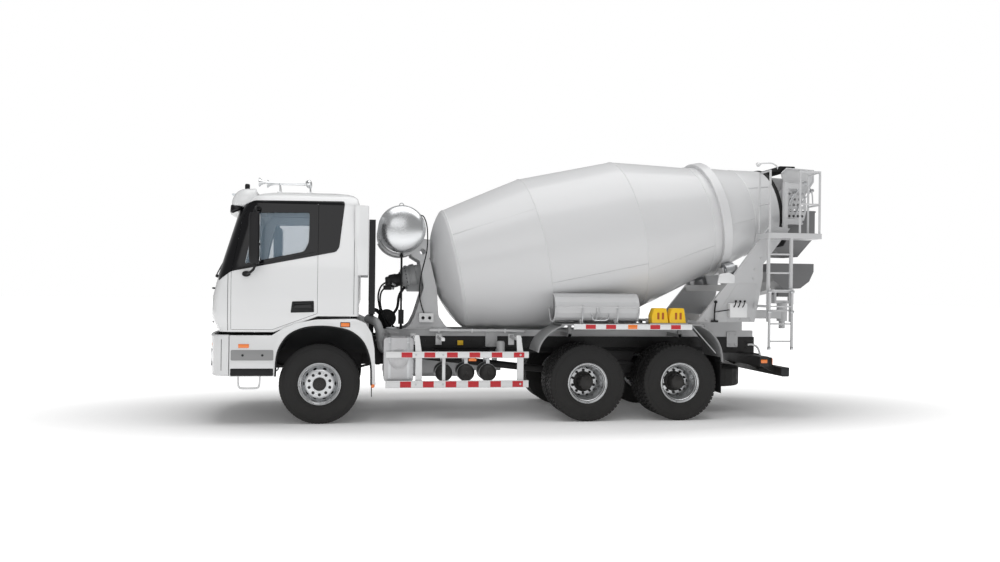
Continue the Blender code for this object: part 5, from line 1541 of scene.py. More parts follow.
# %% Stuff the seats
def cushion(middle, across_dir, along_dir, half, crown=0.55, seams=(), n=28):
    """A crowned pad: half sizes across, along and through, with sewn channels across it."""
    across_dir, along_dir = Vector(across_dir).normalized(), Vector(along_dir).normalized()
    out = across_dir.cross(along_dir)
    verts, faces = [], []
    for sign in (1, -1):
        for i in range(n + 1):
            for j in range(n + 1):
                u, v = -1 + 2 * i / n, -1 + 2 * j / n
                edge = (1 - abs(u) ** 5) * (1 - abs(v) ** 5)
                full = edge ** 0.38
                for line in seams:
                    full -= 0.16 * math.exp(-((v - line) / 0.045) ** 2) * edge ** 0.5 * (1
                        if sign > 0 else 0)
                pull = 1 - 0.035 * (1 - edge ** 0.5) * (u * u + v * v)
                depth = half[2] * (full * (1 - crown) + full * crown * (1 - 0.45 * (
                    u * u + v * v) / 2))
                verts.append(Vector(middle) + across_dir * half[0] * u * pull + along_dir * half[
                    1] * v * pull + out * depth * sign)
    m = n + 1
    for layer in (0, 1):
        base = layer * m * m
        for i in range(n):
            for j in range(n):
                quad = (base + i * m + j, base + (i + 1) * m + j, base + (i + 1) * m + j + 1,
                    base + i * m + j + 1)
                faces.append(quad)
    return verts, faces


def make_pad(name, middle, across_dir, along_dir, half, seams, mat):
    obj = gather(name, [cushion(middle, across_dir, along_dir, half, 0.55, seams)])
    bm = bmesh.new()
    bm.from_mesh(obj.data)
    bmesh.ops.remove_doubles(bm, verts=bm.verts, dist=0.0004)
    bmesh.ops.recalc_face_normals(bm, faces=bm.faces)
    bm.to_mesh(obj.data)
    bm.free()
    dress(obj, "cab", mat, "seat_cloth", 60)
    return obj


for label, y in (("driver", -0.62), ("passenger", 0.62)):
    make_pad(label + "_cushion", (-0.345, y, 1.85), (0, 1, 0), (1, 0, -0.06), (0.245, 0.255,
        0.062), (-0.35, 0.05, 0.45), seat_cloth)
    make_pad(label + "_backrest", (-0.005, y, 2.19), (0, 1, 0), (0.23, 0, 1), (0.235, 0.315,
        0.055), (-0.5, -0.1, 0.3), seat_cloth)
    make_pad(label + "_headrest", (0.078, y, 2.548), (0, 1, 0), (0.23, 0, 1), (0.14, 0.085, 0.045),
        (), seat_side)
    frame_shapes = [
        slab(-0.5, -0.14, y - 0.15, y + 0.15, 1.52, 1.8),
        prism("y", rounded([(-0.58, 1.775), (-0.1, 1.765), (-0.1, 1.8), (-0.58, 1.812)], 0.01, 2),
            y - 0.235, y + 0.235),
        prism("y", rounded([(-0.052, 1.8), (-0.02, 1.8), (0.118, 2.5), (0.1, 2.52)], 0.01, 2),
            y - 0.2, y + 0.2),
        slab(-0.48, -0.16, y - 0.2, y + 0.2, 1.5, 1.545),
    ]
    piece(label + "_seat_frame", frame_shapes, "cab", *DARK_TRIM, bevel=0.01,
        stands_for=(label + "_seat",))

# %% Shape the dashboard and the steering wheel
dash_section = rounded([(-1.27, 1.72), (-1.27, 1.99), (-1.19, 2.055), (-1.08, 2.06),
    (-0.985, 2.005), (-0.97, 1.82), (-1.06, 1.72)], 0.035, 4)
dash_shapes = [prism("y", dash_section, -1.02, 1.02), prism("y", rounded([(-1.25, 1.34),
    (-1.25, 1.75), (-1.02, 1.75), (-1.04, 1.34)], 0.02, 3), -0.16, 0.16)]
dash_shapes.append(prism("y", rounded([(-1.09, 2.045), (-1.0, 2.03), (-0.975, 2.1),
    (-1.04, 2.125)], 0.02, 3), -0.82, -0.42))
piece("dashboard_top", dash_shapes, "cab", *DARK_TRIM, bevel=0.012, stands_for=("dashboard",))
dials = [spun((-0.982 + 0.004, y, 2.073), (1, 0, 0.28), [(0, 0), (0.052, 0), (0.052, 0.006),
    (0.046, 0.006), (0.044, 0.002), (0, 0.002)], 36) for y in (-0.72, -0.52)]
vents = [slab(-0.982, -0.974, y - 0.075, y + 0.075, 1.9 + 0.016 * k, 1.907 + 0.016 * k)
    for y in (-0.92, -0.22, 0.3, 0.9) for k in range(5)]
piece("dashboard_dials", dials + vents, "cab", chrome, "bare_metal", bevel=0.001)
piece("gear_lever", [tube([(-0.62, 0.0, 1.36), (-0.62, -0.02, 1.6), (-0.68, -0.05, 1.8)], 0.012,
    10, 4), ball((-0.685, -0.052, 1.83), 0.034), spun((-0.62, 0, 1.36), (0, 0, 1),
    [(0, 0), (0.09, 0), (0.07, 0.03), (0.05, 0.09), (0.02, 0.12), (0, 0.12)], 28)], "cab",
    *BLACK_TRIM)
WHEEL_AT = Vector((-0.92, -0.62, 2.107))
COLUMN = Vector((-0.145, 0, -0.115)).normalized()
wheel_u, wheel_v, _ = spin_frame(COLUMN)
rim_points = [WHEEL_AT + (wheel_u * math.cos(2 * math.pi * k / 56) + wheel_v * math.sin(
    2 * math.pi * k / 56)) * 0.206 for k in range(57)]
wheel_shapes = [tube(rim_points, 0.0165, 14, 1), spun(WHEEL_AT, COLUMN, [(0, -0.02),
    (0.045, -0.018), (0.062, -0.008), (0.066, 0.006), (0.05, 0.018), (0, 0.018)], 40)]
for turn in (90, 210, 330):
    a = math.radians(turn)
    spoke_out = wheel_u * math.cos(a) + wheel_v * math.sin(a)
    wheel_shapes.append(tube([WHEEL_AT + spoke_out * 0.05, WHEEL_AT + spoke_out * 0.12
        + COLUMN * 0.004, WHEEL_AT + spoke_out * 0.203], 0.0125, 10, 4))
piece("steering_wheel_rim", wheel_shapes, "steering_wheel_body", *BLACK_TRIM, angle=50,
    stands_for=("steering_wheel",))
piece("steering_column", [tube([(-1.1, -0.62, 1.965), (-0.944, -0.62, 2.088)], 0.03, 20, 1),
    tube([(-0.985, -0.62, 2.06), (-0.965, -0.7, 2.085), (-0.955, -0.78, 2.1)], 0.009, 8, 4)],
    "cab", *DARK_TRIM, bevel=0.002)
lining = [prism("z", rounded(box_outline(-0.86, 0.34, -0.84, 0.84), 0.1), 3.115, 3.135)]
lining.append(prism("y", [(0.452, 1.62), (0.468, 1.62), (0.468, 3.02), (0.452, 3.02)], -1.06,
    1.06))
piece("roof_and_rear_lining", lining, "cab", roof_lining, "seat_cloth", bevel=0.008)
piece("bunk_pad_base", [prism("y", rounded([(0.14, 1.88), (0.14, 2.0), (0.44, 2.0), (0.44, 1.88)],
    0.02, 3), -0.98, 0.98)], "cab", dark_plastic, "seat_cloth", bevel=0.02)
print("cab ready")

# %% [markdown]
# ## Bumper, fender and steps
# Below the cab's seam the front is a bumper that wraps round to the wheel arch. Behind it sits the
# step box with its grey tread and two bolts, a bent tube for the lowest step, and a fender that
# follows the tyre. The bumper is one section bent along a plan curve, so its edge stays even.

# %% Bend the bumper
NOSE = [(-1.205, -1.236), (-1.335, -1.216), (-1.435, -1.1), (-1.512, -0.8), (-1.556, -0.4),
    (-1.571, 0.0)]
nose_plan = NOSE + [(x, -y) for x, y in reversed(NOSE[:-1])]
nose_line = [(p.x, p.y) for p in smooth_path([(x, y, 0) for x, y in nose_plan], 6)]


def bent_along(line, section):
    """A section of (inwards, height) pairs carried along a plan curve."""
    verts, faces = [], []
    n = len(section)
    for k, (x, y) in enumerate(line):
        before, after = Vector(line[max(k - 1, 0)]), Vector(line[min(k + 1, len(line) - 1)])
        run = (after - before).normalized()
        inward = Vector((-run.y, run.x)) * -1
        for depth, z in section:
            verts.append((x + inward.x * depth, y + inward.y * depth, z))
        if k:
            b, c = n * (k - 1), n * k
            faces += [(b + j, b + (j + 1) % n, c + (j + 1) % n, c + j) for j in range(n)]
    faces += [tuple(range(n - 1, -1, -1)), tuple(range(n * (len(line) - 1), n * len(line)))]
    return verts, faces


bumper_section = rounded([(0.012, 0.672), (0.0, 0.7), (0.0, 1.215), (0.012, 1.232), (0.046, 1.232),
    (0.046, 0.672)], 0.02, 3)
bumper = gather("bumper_skin", [bent_along(nose_line, bumper_section)])
openings = [prism("x", rounded(box_outline(-0.62, 0.62, 0.8, 0.98), 0.04), -1.75, -1.4)]
openings += both(prism("x", rounded([(-1.09, 0.8), (-0.74, 0.8), (-0.74, 1.02), (-1.09, 1.04)],
    0.04), -1.75, -1.15))
carve_all(bumper, openings)
dress(bumper, "chassis", *WHITE, 40, ("front_bumper",))
piece("bumper_backing", [bent_along(nose_line, [(0.05, 0.7), (0.05, 1.2), (0.066, 1.2),
    (0.066, 0.7)])], "chassis", *BLACK_TRIM)
lamp_bowls = both(
    spun((-1.472, -0.845, 0.915), (-0.96, -0.28, 0), [(0, -0.03), (0.082, -0.03), (0.086, 0.004),
        (0.078, 0.01), (0.07, 0.0), (0, -0.012)], 36),
    spun((-1.432, -1.005, 0.925), (-0.9, -0.43, 0), [(0, -0.03), (0.062, -0.03), (0.066, 0.004),
        (0.058, 0.01), (0.05, 0.0), (0, -0.01)], 32),
)
piece("headlamps", lamp_bowls, "chassis", chrome, "bare_metal", bevel=0.001)
piece("headlamp_glass", both(spun((-1.478, -0.847, 0.915), (-0.96, -0.28, 0), [(0, 0), (0.078, 0),
    (0.074, 0.01), (0, 0.02)], 36), spun((-1.437, -1.007, 0.925), (-0.9, -0.43, 0),
    [(0, 0), (0.058, 0), (0.054, 0.008), (0, 0.015)], 32)), "chassis", clear_lens, "glass")
piece("turn_lamps", both(prism("x", rounded(box_outline(-1.085, -0.985, 1.075, 1.12), 0.01),
    -1.445, -1.36)), "chassis", *ORANGE, bevel=0.004)
mesh_bars = [prism("y", rounded(box_outline(-1.53, -1.512, 0.812 + 0.034 * k, 0.822 + 0.034 * k),
    0.003, 2), -0.6, 0.6) for k in range(5)]
piece("bumper_bars", mesh_bars, "chassis", *DARK_TRIM)
piece("number_plate_blank", [prism("x", rounded(box_outline(-0.26, 0.26, 0.69, 0.8), 0.012),
    -1.578, -1.567)], "chassis", *WHITE, bevel=0.002)
piece("tow_covers", both(spun((-1.548, -0.47, 1.1), (-0.995, -0.1, 0), [(0, -0.01), (0.036, -0.01),
    (0.036, 0.003), (0.03, 0.006), (0, 0.006)], 28)), "chassis", *BLACK_TRIM)
slot_line = tube([(-1.3, -1.2265, 0.75), (-1.3, -1.2265, 1.17)], 0.005, 6, 1)
piece("bumper_side_slots", both(slot_line), "chassis", *BLACK_TRIM)

# %% Fold the fender and fit the step box
WHEEL_ARCH = [(0.705, 0.54), (0.69, 0.86), (0.6, 1.12), (0.44, 1.27), (0.25, 1.33), (0.03, 1.352),
    (-0.2, 1.33), (-0.39, 1.25), (-0.505, 1.12), (-0.57, 0.95), (-0.59, 0.665)]
fender_outer = [(-1.195, 0.665), (-1.195, 1.226), (-0.64, 1.226), (-0.48, 1.33), (-0.3, 1.4),
    (-0.05, 1.446), (0.48, 1.458), (0.62, 1.4), (0.705, 1.26), (0.745, 1.05), (0.762, 0.7),
    (0.765, 0.54)]
skin_line = [(p.x, p.y) for p in smooth_path([(x, z, 0) for x, z in WHEEL_ARCH], 5)]
fender_skin = prism("y", fender_outer + skin_line, -1.2385, -1.205)
pair_of("front_fender_skin", [fender_skin], CHASSIS, *WHITE, 0.006, 40, "front_fender_")
lip_line = [(x, -1.235, z) for x, z in skin_line]
pair_of("wheel_arch_lip", [tube(lip_line, 0.013, 8, 1)], CHASSIS, *BLACK_TRIM)
liner_in = [(x + 0.022 * (1 if x > 0.03 else -1) * min(1, abs(x - 0.03) / 0.3), z + 0.02 * max(0.0,
    (z - 0.7) / 0.65)) for x, z in skin_line]
high = [k for k, (x, z) in enumerate(skin_line) if x > 0 or z > 0.97]
liner_shapes = [prism("y", [skin_line[k] for k in high] + [liner_in[k] for k in reversed(high)],
    -1.204, -0.6)]
liner_shapes.append(prism("y", [(-0.62, 0.98), (0.72, 0.98), (0.66, 1.1), (0.44, 1.345),
    (-0.3, 1.345), (-0.52, 1.2)], -0.462, -0.45))
pair_of("wheel_arch_liner", liner_shapes, CHASSIS, *DARK_TRIM)
pair_of("side_marker", [prism("y", rounded(box_outline(0.285, 0.401, 1.35, 1.402), 0.008), -1.2475,
    -1.236)], CHASSIS, *ORANGE, 0.003)
pair_of("side_marker_base", [prism("y", rounded(box_outline(0.276, 0.41, 1.341, 1.411), 0.01),
    -1.242, -1.236)], CHASSIS, *BLACK_TRIM, 0.002)
pair_of("step_box", [slab(-1.188, -0.64, -1.203, -0.78, 0.69, 1.03)], CHASSIS, *DARK_TRIM, 0.012)
pair_of("step_tread_face", [prism("y", rounded(box_outline(-1.175, -0.615, 0.885, 1.028), 0.02),
    -1.2425, -1.236)], CHASSIS, grey_paint, "grey_paint", 0.002)
pair_of("step_bolts", bolt((-1.02, -1.242, 0.955), (0, -1, 0), 0.013, 0.009) + bolt((-0.76, -1.242,
    0.955), (0, -1, 0), 0.013, 0.009), CHASSIS, *DARK_TRIM)
pair_of("step_edge", [prism("y", rounded(box_outline(-1.19, -0.6, 0.78, 0.872), 0.018), -1.2435,
    -1.2)], CHASSIS, *WHITE, 0.003)
pair_of("step_underside", [prism("y", rounded(box_outline(-1.18, -0.615, 0.675, 0.776), 0.018),
    -1.242, -1.2)], CHASSIS, *BLACK_TRIM, 0.003)
pair_of("step_tube", [tube([(-1.085, -1.19, 0.7), (-1.082, -1.19, 0.58), (-1.07, -1.19, 0.522),
    (-1.03, -1.19, 0.505), (-0.94, -1.19, 0.503), (-0.85, -1.19, 0.505), (-0.812, -1.19, 0.522),
    (-0.8, -1.19, 0.58), (-0.798, -1.19, 0.7)], 0.014, 12, 4)], CHASSIS, *WHITE)
pair_of("side_reflector", [prism("y", rounded(box_outline(-1.078, -0.938, 1.056, 1.108), 0.008),
    -1.2475, -1.234)], CHASSIS, *ORANGE, 0.003)
pair_of("fender_mud_flap", [slab(0.705, 0.716, -1.2, -0.66, 0.375, 0.95)], CHASSIS, *SOFT_BLACK,
    0.003)
pair_of("round_reflector", [spun((0.728, -1.238, 0.53), (0, -1, 0), [(0, -0.004), (0.026, -0.004),
    (0.026, 0.004), (0.02, 0.008), (0, 0.008)], 28)], CHASSIS, *ORANGE)

# %% [markdown]
# ## Side guard, exhaust and tanks
# Two white rails with red bands keep people out from between the axles. The bands are separate
# thin sleeves, as they are strips of reflecting tape on the real rail. Behind the guard hang the
# silencer box with its pressed round mark, three air tanks in straps, and the fuel tank.

# %% Build the side guard
red_tape = finish("red_tape", (0.52, 0.012, 0.02), 0.38, drift=0.03, peel=0.1)
rail_shapes = []
for z0, z1 in ((0.915, 1.005), (0.497, 0.6)):
    rail_shapes.append(prism("x", rounded([(-1.24, z0), (-1.205, z0), (-1.205, z1), (-1.24, z1)],
        0.012, 3), 0.9, 2.92))
rail_shapes.append(slab(1.69, 1.735, -1.205, -1.175, 0.59, 0.92))
for x in (1.345, 2.79):
    rail_shapes.append(prism("y", rounded([(x - 0.03, 0.497), (x + 0.062, 0.497), (x + 0.062,
        0.96), (x + 0.02, 1.235), (x - 0.045, 1.235), (x - 0.03, 0.96)], 0.02, 3), -1.205, -1.175))
for x in (1.32, 1.7, 2.8):
    rail_shapes.append(slab(x - 0.025, x + 0.025, -1.19, -0.43, 1.15, 1.195))
    rail_shapes.append(slab(x - 0.045, x + 0.045, -0.47, -0.432, 1.05, 1.22))
pair_of("guard_rails", rail_shapes, CHASSIS, *WHITE, 0.004, 40, "side_guard_")
tapes = []
for k in range(6):
    for z0, z1, shift in ((0.915, 1.005, 0.0), (0.497, 0.6, -0.016)):
        x = 1.118 + 0.317 * k + shift
        tapes.append(prism("x", rounded([(-1.2413, z0 + 0.008), (-1.23, z0 + 0.008),
            (-1.23, z1 - 0.008), (-1.2413, z1 - 0.008)], 0.006, 2), x, x + 0.152))
pair_of("guard_tapes", tapes, CHASSIS, red_tape, "drum_paint")
guard_bolts = []
for x in (1.32, 1.7, 2.8):
    for z in (0.96, 0.548):
        guard_bolts += bolt((x, -1.241, z), (0, -1, 0), 0.012, 0.006)
pair_of("guard_bolts", guard_bolts, CHASSIS, *STEEL)

# %% Fold the silencer box and its pipe
box_shapes = [prism("y", rounded(box_outline(0.878, 1.283, 0.592, 1.188), 0.045), -1.168, -0.522)]
box_shapes += [prism("y", rounded(box_outline(0.872, 1.289, 0.586, 1.194), 0.048), y, y + 0.014)
    for y in (-1.172, -0.7)]
box_shapes.append(spun((1.08, -1.172, 0.9), (0, -1, 0), [(0, -0.01), (0.145, -0.01),
    (0.145, 0.006), (0.132, 0.009), (0.118, 0.004), (0.05, 0.004), (0.04, 0.009), (0, 0.009)], 48))
piece("silencer_box", box_shapes, "chassis", box_metal, "bare_metal", bevel=0.006,
    stands_for=("exhaust_box",))
pipe_shapes = [tube([(0.9, -0.8, 0.99), (0.855, -0.8, 1.04), (0.835, -0.8, 1.14), (0.815, -0.8,
    1.28), (0.76, -0.77, 1.4), (0.64, -0.66, 1.445)], 0.062, 28, 6)]
pipe_shapes += [spun((0.828, -0.8, z), (-0.12, 0, 1), [(0, 0), (0.071, 0), (0.071, 0.022),
    (0, 0.022)], 28) for z in (1.13, 1.24)]
piece("exhaust_pipe", pipe_shapes, "chassis", gear_paint, "dark_metal")
strap_shapes = []
for x in (0.955, 1.215):
    strap_shapes.append(slab(x - 0.02, x + 0.02, -1.1735, -0.51, 1.188, 1.198))
    strap_shapes.append(slab(x - 0.02, x + 0.02, -1.1765, -1.166, 0.6, 1.19))
    strap_shapes += bolt((x, -1.177, 1.14), (0, -1, 0), 0.014, 0.01)
piece("silencer_straps", strap_shapes, "chassis", *STEEL, bevel=0.001)

# %% Turn the air tanks and the fuel tank
tank_shapes, tank_straps = [], []
for x in (1.74, 2.06, 2.38):
    tank_shapes.append(spun((x, -0.76, 0.68), (0, -1, 0), [(0, -0.235), (0.07, -0.23),
        (0.108, -0.208), (0.124, -0.17), (0.124, 0.17), (0.108, 0.208), (0.07, 0.23), (0, 0.235)],
        40))
    tank_shapes.append(spun((x, -0.995, 0.68), (0, -1, 0), [(0, -0.004), (0.022, -0.004),
        (0.022, 0.01), (0.014, 0.018), (0, 0.018)], 20))
    for y in (-0.9, -0.62):
        tank_straps.append(spun((x, y, 0.68), (0, -1, 0), [(0.1235, -0.014), (0.1285, -0.014),
            (0.1285, 0.014), (0.1235, 0.014)], 40))
        tank_straps.append(slab(x - 0.025, x + 0.025, y - 0.014, y + 0.014, 0.8, 0.935))
piece("air_tank_shells", tank_shapes, "chassis", *BLACK, angle=40, stands_for=("air_tanks",))
piece("air_tank_straps", tank_straps, "chassis", *STEEL, bevel=0.001)
cross_beam = [prism("y", rounded(box_outline(1.62, 2.5, 0.925, 0.965), 0.01), y - 0.03, y + 0.03)
    for y in (-0.9, -0.62)]
cross_beam += [slab(x - 0.025, x + 0.025, -0.93, -0.43, 0.93, 0.975) for x in (1.66, 2.46)]
piece("air_tank_hanger", cross_beam, "chassis", *BLACK, bevel=0.004)
piece("fuel_tank_shell", [prism("x", rounded([(0.562, 0.462), (1.158, 0.462), (1.158, 1.058),
    (0.562, 1.058)], 0.09, 8), 1.052, 2.148)], "chassis", box_metal, "bare_metal", bevel=0.014,
    stands_for=("fuel_tank",))
fuel_straps = []
for x in (1.32, 1.88):
    fuel_straps.append(prism("x", rounded([(0.559, 0.459), (1.161, 0.459), (1.161, 1.061),
        (0.559, 1.061)], 0.092, 8), x - 0.025, x + 0.025))
    fuel_straps.append(slab(x - 0.03, x + 0.03, 0.43, 0.6, 0.96, 1.08))
fuel_straps.append(spun((1.16, 0.9, 1.055), (0, 0, 1), [(0, 0), (0.048, 0), (0.05, 0.01),
    (0.044, 0.03), (0, 0.03)], 30))
piece("fuel_tank_straps", fuel_straps, "chassis", *STEEL, bevel=0.002)

# %% [markdown]
# ## Frame, axles and chassis fittings
# The ladder frame and the axles are carried over from the CAD and get bolts, spring packs, hoses
# and brackets, in the dark where they show between the wheels. Then come the small things on top
# of the frame: a conduit, a canister, a yellow tag and an orange lamp.

# %% Bolt the frame
rail_bolts = []
for x in [0.86 + 0.22 * k for k in range(27)]:
    for z in (1.005, 1.105):
        rail_bolts += bolt((x, -0.432, z), (0, -1, 0), 0.013, 0.008)
piece("frame_bolts", both(*rail_bolts), "chassis", *BLACK)
plates = []
for x in (1.02, 2.5, 5.95, 6.35):
    plates.append(prism("y", rounded(box_outline(x - 0.09, x + 0.09, 1.02, 1.265), 0.02), -0.442,
        -0.4305))
    for dx in (-0.05, 0.05):
        for z in (1.06, 1.22):
            plates += bolt((x + dx, -0.442, z), (0, -1, 0), 0.014, 0.01)
piece("frame_plates", both(*plates), "chassis", *PALE_GREY, bevel=0.002)
conduit = [tube([(1.56, -0.455, 1.262), (2.2, -0.455, 1.266), (2.93, -0.455, 1.262), (3.0, -0.455,
    1.25)], 0.022, 12, 4)]
conduit += [slab(x - 0.012, x + 0.012, -0.482, -0.43, 1.232, 1.292) for x in (1.7, 2.2, 2.7)]
piece("frame_conduit", conduit, "chassis", *WHITE)
air_lines = [tube([(0.75, -0.452, 0.97 + 0.03 * k), (2.0, -0.454, 0.975 + 0.03 * k), (3.2, -0.452,
    0.965 + 0.03 * k), (4.8, -0.453, 0.97 + 0.03 * k), (6.1, -0.452, 0.972 + 0.03 * k)], 0.009, 8,
    4) for k in range(2)]
piece("frame_air_lines", air_lines, "chassis", *BLACK_TRIM)
piece("air_dryer", [spun((2.62, -0.58, 0.93), (0, 0, 1), [(0, 0), (0.055, 0), (0.062, 0.02),
    (0.062, 0.16), (0.048, 0.185), (0, 0.19)], 32), slab(2.56, 2.68, -0.6, -0.43, 0.95, 0.99)],
    "chassis", *PALE_GREY, bevel=0.002)
piece("yellow_tag", [slab(1.985, 2.07, -0.456, -0.4455, 1.045, 1.115)], "chassis", yellow_plastic,
    "drum_paint", bevel=0.001)
piece("side_lamps", both(*[prism("y", rounded(box_outline(x, x + 0.11, 0.872, 0.908), 0.008),
    -1.232, -1.206) for x in (2.06,)], slab(2.08, 2.15, -1.225, -1.206, 0.9, 0.92)), "chassis",
    *ORANGE, bevel=0.003)

# %% Stack the springs
spring_shapes = []
for side in (-1, 1):
    for k in range(6):
        span = 0.66 - 0.07 * k
        spring_shapes.append(prism("y", [(4.54 - span, 0.8 + 0.004 * k),
            (4.54, 0.715 - 0.02 * k + 0.04), (4.54 + span, 0.8 + 0.004 * k), (4.54 + span,
            0.784 + 0.004 * k), (4.54, 0.699 - 0.02 * k + 0.04), (4.54 - span, 0.784 + 0.004 * k)],
            side * 0.5 - 0.04, side * 0.5 + 0.04))
piece("spring_packs", spring_shapes, "chassis", *IRON, bevel=0.001)
print("springs stacked", len(spring_shapes))

# %% [markdown]
# ## Rear fenders and chocks
# One long fender covers both rear wheels of a side. Its top edge carries a white strip with red
# and orange marks; a stored chute, a lever and two yellow wheel chocks ride on it.

# %% Roll the rear fenders
rear_outer = [(3.05, 1.0), (3.075, 1.09), (3.13, 1.185), (3.215, 1.27), (3.32, 1.342),
    (3.43, 1.38), (3.56, 1.399), (5.38, 1.399), (5.49, 1.382), (5.59, 1.335), (5.68, 1.262),
    (5.745, 1.175), (5.795, 1.07), (5.82, 0.96), (5.828, 0.86)]
fender_line = [(p.x, p.y) for p in smooth_path([(x, z, 0) for x, z in rear_outer], 4)]


def thick_line(line, thick):
    """A closed outline: the line, and the line again set in by a thickness on its right side."""
    inner = []
    for k in range(len(line)):
        a, b = Vector(line[max(k - 1, 0)]), Vector(line[min(k + 1, len(line) - 1)])
        run = (b - a).normalized()
        inner.append((line[k][0] + run.y * thick, line[k][1] - run.x * thick))
    return list(line) + inner[::-1]


fender_shapes = [prism("y", thick_line(fender_line, 0.018), -1.234, -0.602)]
fender_shapes.append(tube([(x, -1.236, z - 0.004) for x, z in fender_line], 0.012, 8, 1))
for x in (3.6, 5.3):
    fender_shapes.append(slab(x - 0.03, x + 0.03, -0.9, -0.431, 1.2, 1.245))
    fender_shapes.append(slab(x - 0.025, x + 0.025, -0.9, -0.85, 1.2, 1.385))
pair_of("rear_fender_skin", fender_shapes, CHASSIS, grey_paint, "grey_paint", 0.0, 35,
    "rear_fender_")
pair_of("rear_mud_flap", [slab(5.806, 5.82, -1.215, -0.62, 0.395, 0.93), slab(5.798, 5.834, -1.225,
    -0.61, 0.845, 0.885)], CHASSIS, *SOFT_BLACK, 0.002)
pair_of("fender_strip", [prism("y", rounded(box_outline(3.57, 5.35, 1.326, 1.404), 0.01), -1.2495,
    -1.233)], CHASSIS, *WHITE, 0.002)
strip_red = [slab(x, x + 0.148, -1.2508, -1.24, 1.334, 1.396) for x in (3.745, 4.046, 4.71, 5.024)]
pair_of("fender_strip_red", strip_red, CHASSIS, red_tape, "drum_paint")
pair_of("fender_strip_orange", [slab(4.375, 4.515, -1.2512, -1.24, 1.334, 1.396)], CHASSIS,
    *ORANGE, 0.002)
chock = [prism("y", rounded([(x + 0.01, 1.402), (x + 0.262, 1.402), (x + 0.225, 1.64), (x + 0.045,
    1.64), (x, 1.52)], 0.018, 4), -1.2, -1.04) for x in (4.745, 5.015)]
pair_of("wheel_chocks", chock, CHASSIS, yellow_plastic, "drum_paint", 0.008)
# The chocks' hand slots are not cut: thin patches of darker orange sit on the chock faces, painted
# shade where the recessed slots would fall dark.
slots = [slab(x + dx, x + dx + 0.035, -1.2035, -1.195, 1.475, 1.575) for x in (4.745, 5.015)
    for dx in (0.085, 0.155)]
slot_orange = finish("slot_orange", (0.38, 0.085, 0.01), 0.6, drift=0.1, peel=0.3)
pair_of("chock_slots", slots, CHASSIS, slot_orange, "black_plastic", 0.004)
pair_of("chock_rack", [slab(4.72, 5.3, -1.215, -1.19, 1.4, 1.422), slab(4.72, 5.3, -1.03, -1.01,
    1.4, 1.46), tube([(5.36, -1.24, 1.372), (5.72, -1.236, 0.985)], 0.008, 8, 1)], CHASSIS, *STEEL,
    0.002)

# %% [markdown]
# ## Pedestals
# The drum stands on two folded-plate pedestals: one under the gearbox, one under the roller ring.
# The rear plates get a folded flange along their edge, and both pedestals get a row of bolts
# where they meet the subframe.

# %% Fold the front pedestal
TANK_AT = (1.121, 2.739)


def round_tank(start, stop, radius, steps=16):
    """Points round the water tank's outline, in X and Z, between two angles in degrees."""
    turn = [math.radians(start + (stop - start) * k / steps) for k in range(steps + 1)]
    return [(TANK_AT[0] + radius * math.cos(a), TANK_AT[1] + radius * math.sin(a)) for a in turn]


front_plates = []
saddle = round_tank(296, 342, 0.343) + [(1.557, 2.62), (1.56, 2.35), (1.5, 2.3), (1.4, 2.305),
    (1.29, 2.37)]
leg = rounded([(1.19, 1.282), (1.86, 1.282), (1.79, 1.35), (1.7, 1.48), (1.665, 1.9), (1.56, 2.33),
    (1.405, 2.33), (1.475, 1.9), (1.35, 1.5), (1.28, 1.35)], 0.03, 3)
for a in (-0.42, 0.35):
    front_plates.append(prism("y", leg, a, a + 0.07))
    front_plates.append(prism("y", round_tank(205, 335, 0.343, 30) + round_tank(335, 205, 0.372,
        30), a - 0.02, a + 0.09))
    front_plates.append(slab(1.17, 1.88, a - 0.03, a + 0.1, 1.281, 1.296))
for z0, z1, x0, x1 in ((1.74, 1.83, 1.49, 1.64), (1.3, 1.4, 1.4, 1.62)):
    front_plates.append(slab(x0, x1, -0.36, 0.36, z0, z1))
saddles = gather("tank_saddles", [prism("y", saddle, a - 0.004, a + 0.074) for a in (-0.42, 0.35)])
carve_all(saddles, [spun((1.452, 0.6, 2.44), (0, -1, 0), [(0, 0), (0.046, 0), (0.046, 1.2),
    (0, 1.2)], 36)])
dress(saddles, "chassis", *PALE_GREY)
for x in (1.24, 1.4, 1.62, 1.8):
    for y in (-0.435, 0.435):
        front_plates += bolt((x, y, 1.296), (0, 0, 1), 0.014, 0.012)
piece("front_stand", front_plates, "chassis", *PALE_GREY, bevel=0.004,
    stands_for=("front_pedestal",))
drain = [tube([(1.135, -0.46, 2.395), (1.135, -0.47, 2.3), (1.135, -0.47, 1.66), (1.135, -0.46,
    1.56)], 0.016, 12, 4)]
drain += [slab(1.095, 1.175, -0.51, -0.43, 1.36, 1.57), tube([(1.135, -0.47, 1.37), (1.135, -0.46,
    1.285)], 0.02, 12, 2), spun((1.135, -0.47, 2.385), (0, 0, -1), [(0, 0), (0.026, 0),
    (0.026, 0.035), (0, 0.035)], 24)]
oil_filter = [spun((0.935, -0.3, 1.435), (0, -1, 0), [(0, -0.24), (0.125, -0.24), (0.135, -0.22),
    (0.135, 0.0), (0.118, 0.014), (0.05, 0.018), (0.045, 0.034), (0, 0.034)], 40)]
oil_filter += [slab(0.83, 1.04, -0.3, -0.08, 1.281, 1.305), tube([(0.84, -0.26, 1.5), (0.76, -0.3,
    1.56), (0.7, -0.36, 1.5), (0.66, -0.42, 1.4)], 0.03, 14, 4), tube([(1.03, -0.2, 1.5),
    (1.09, -0.18, 1.6), (1.12, -0.15, 1.78), (1.22, -0.08, 1.94)], 0.022, 12, 4)]
piece("oil_filter", oil_filter, "chassis", *SOFT_BLACK, bevel=0.003)
piece("tank_drain", drain, "chassis", *BLACK_TRIM, bevel=0.004)
motor_box = [prism("y", rounded(box_outline(1.4, 1.62, 1.385, 1.52), 0.015), -0.5, -0.425)]
piece("front_control_box", motor_box, "chassis", *WHITE, bevel=0.006)
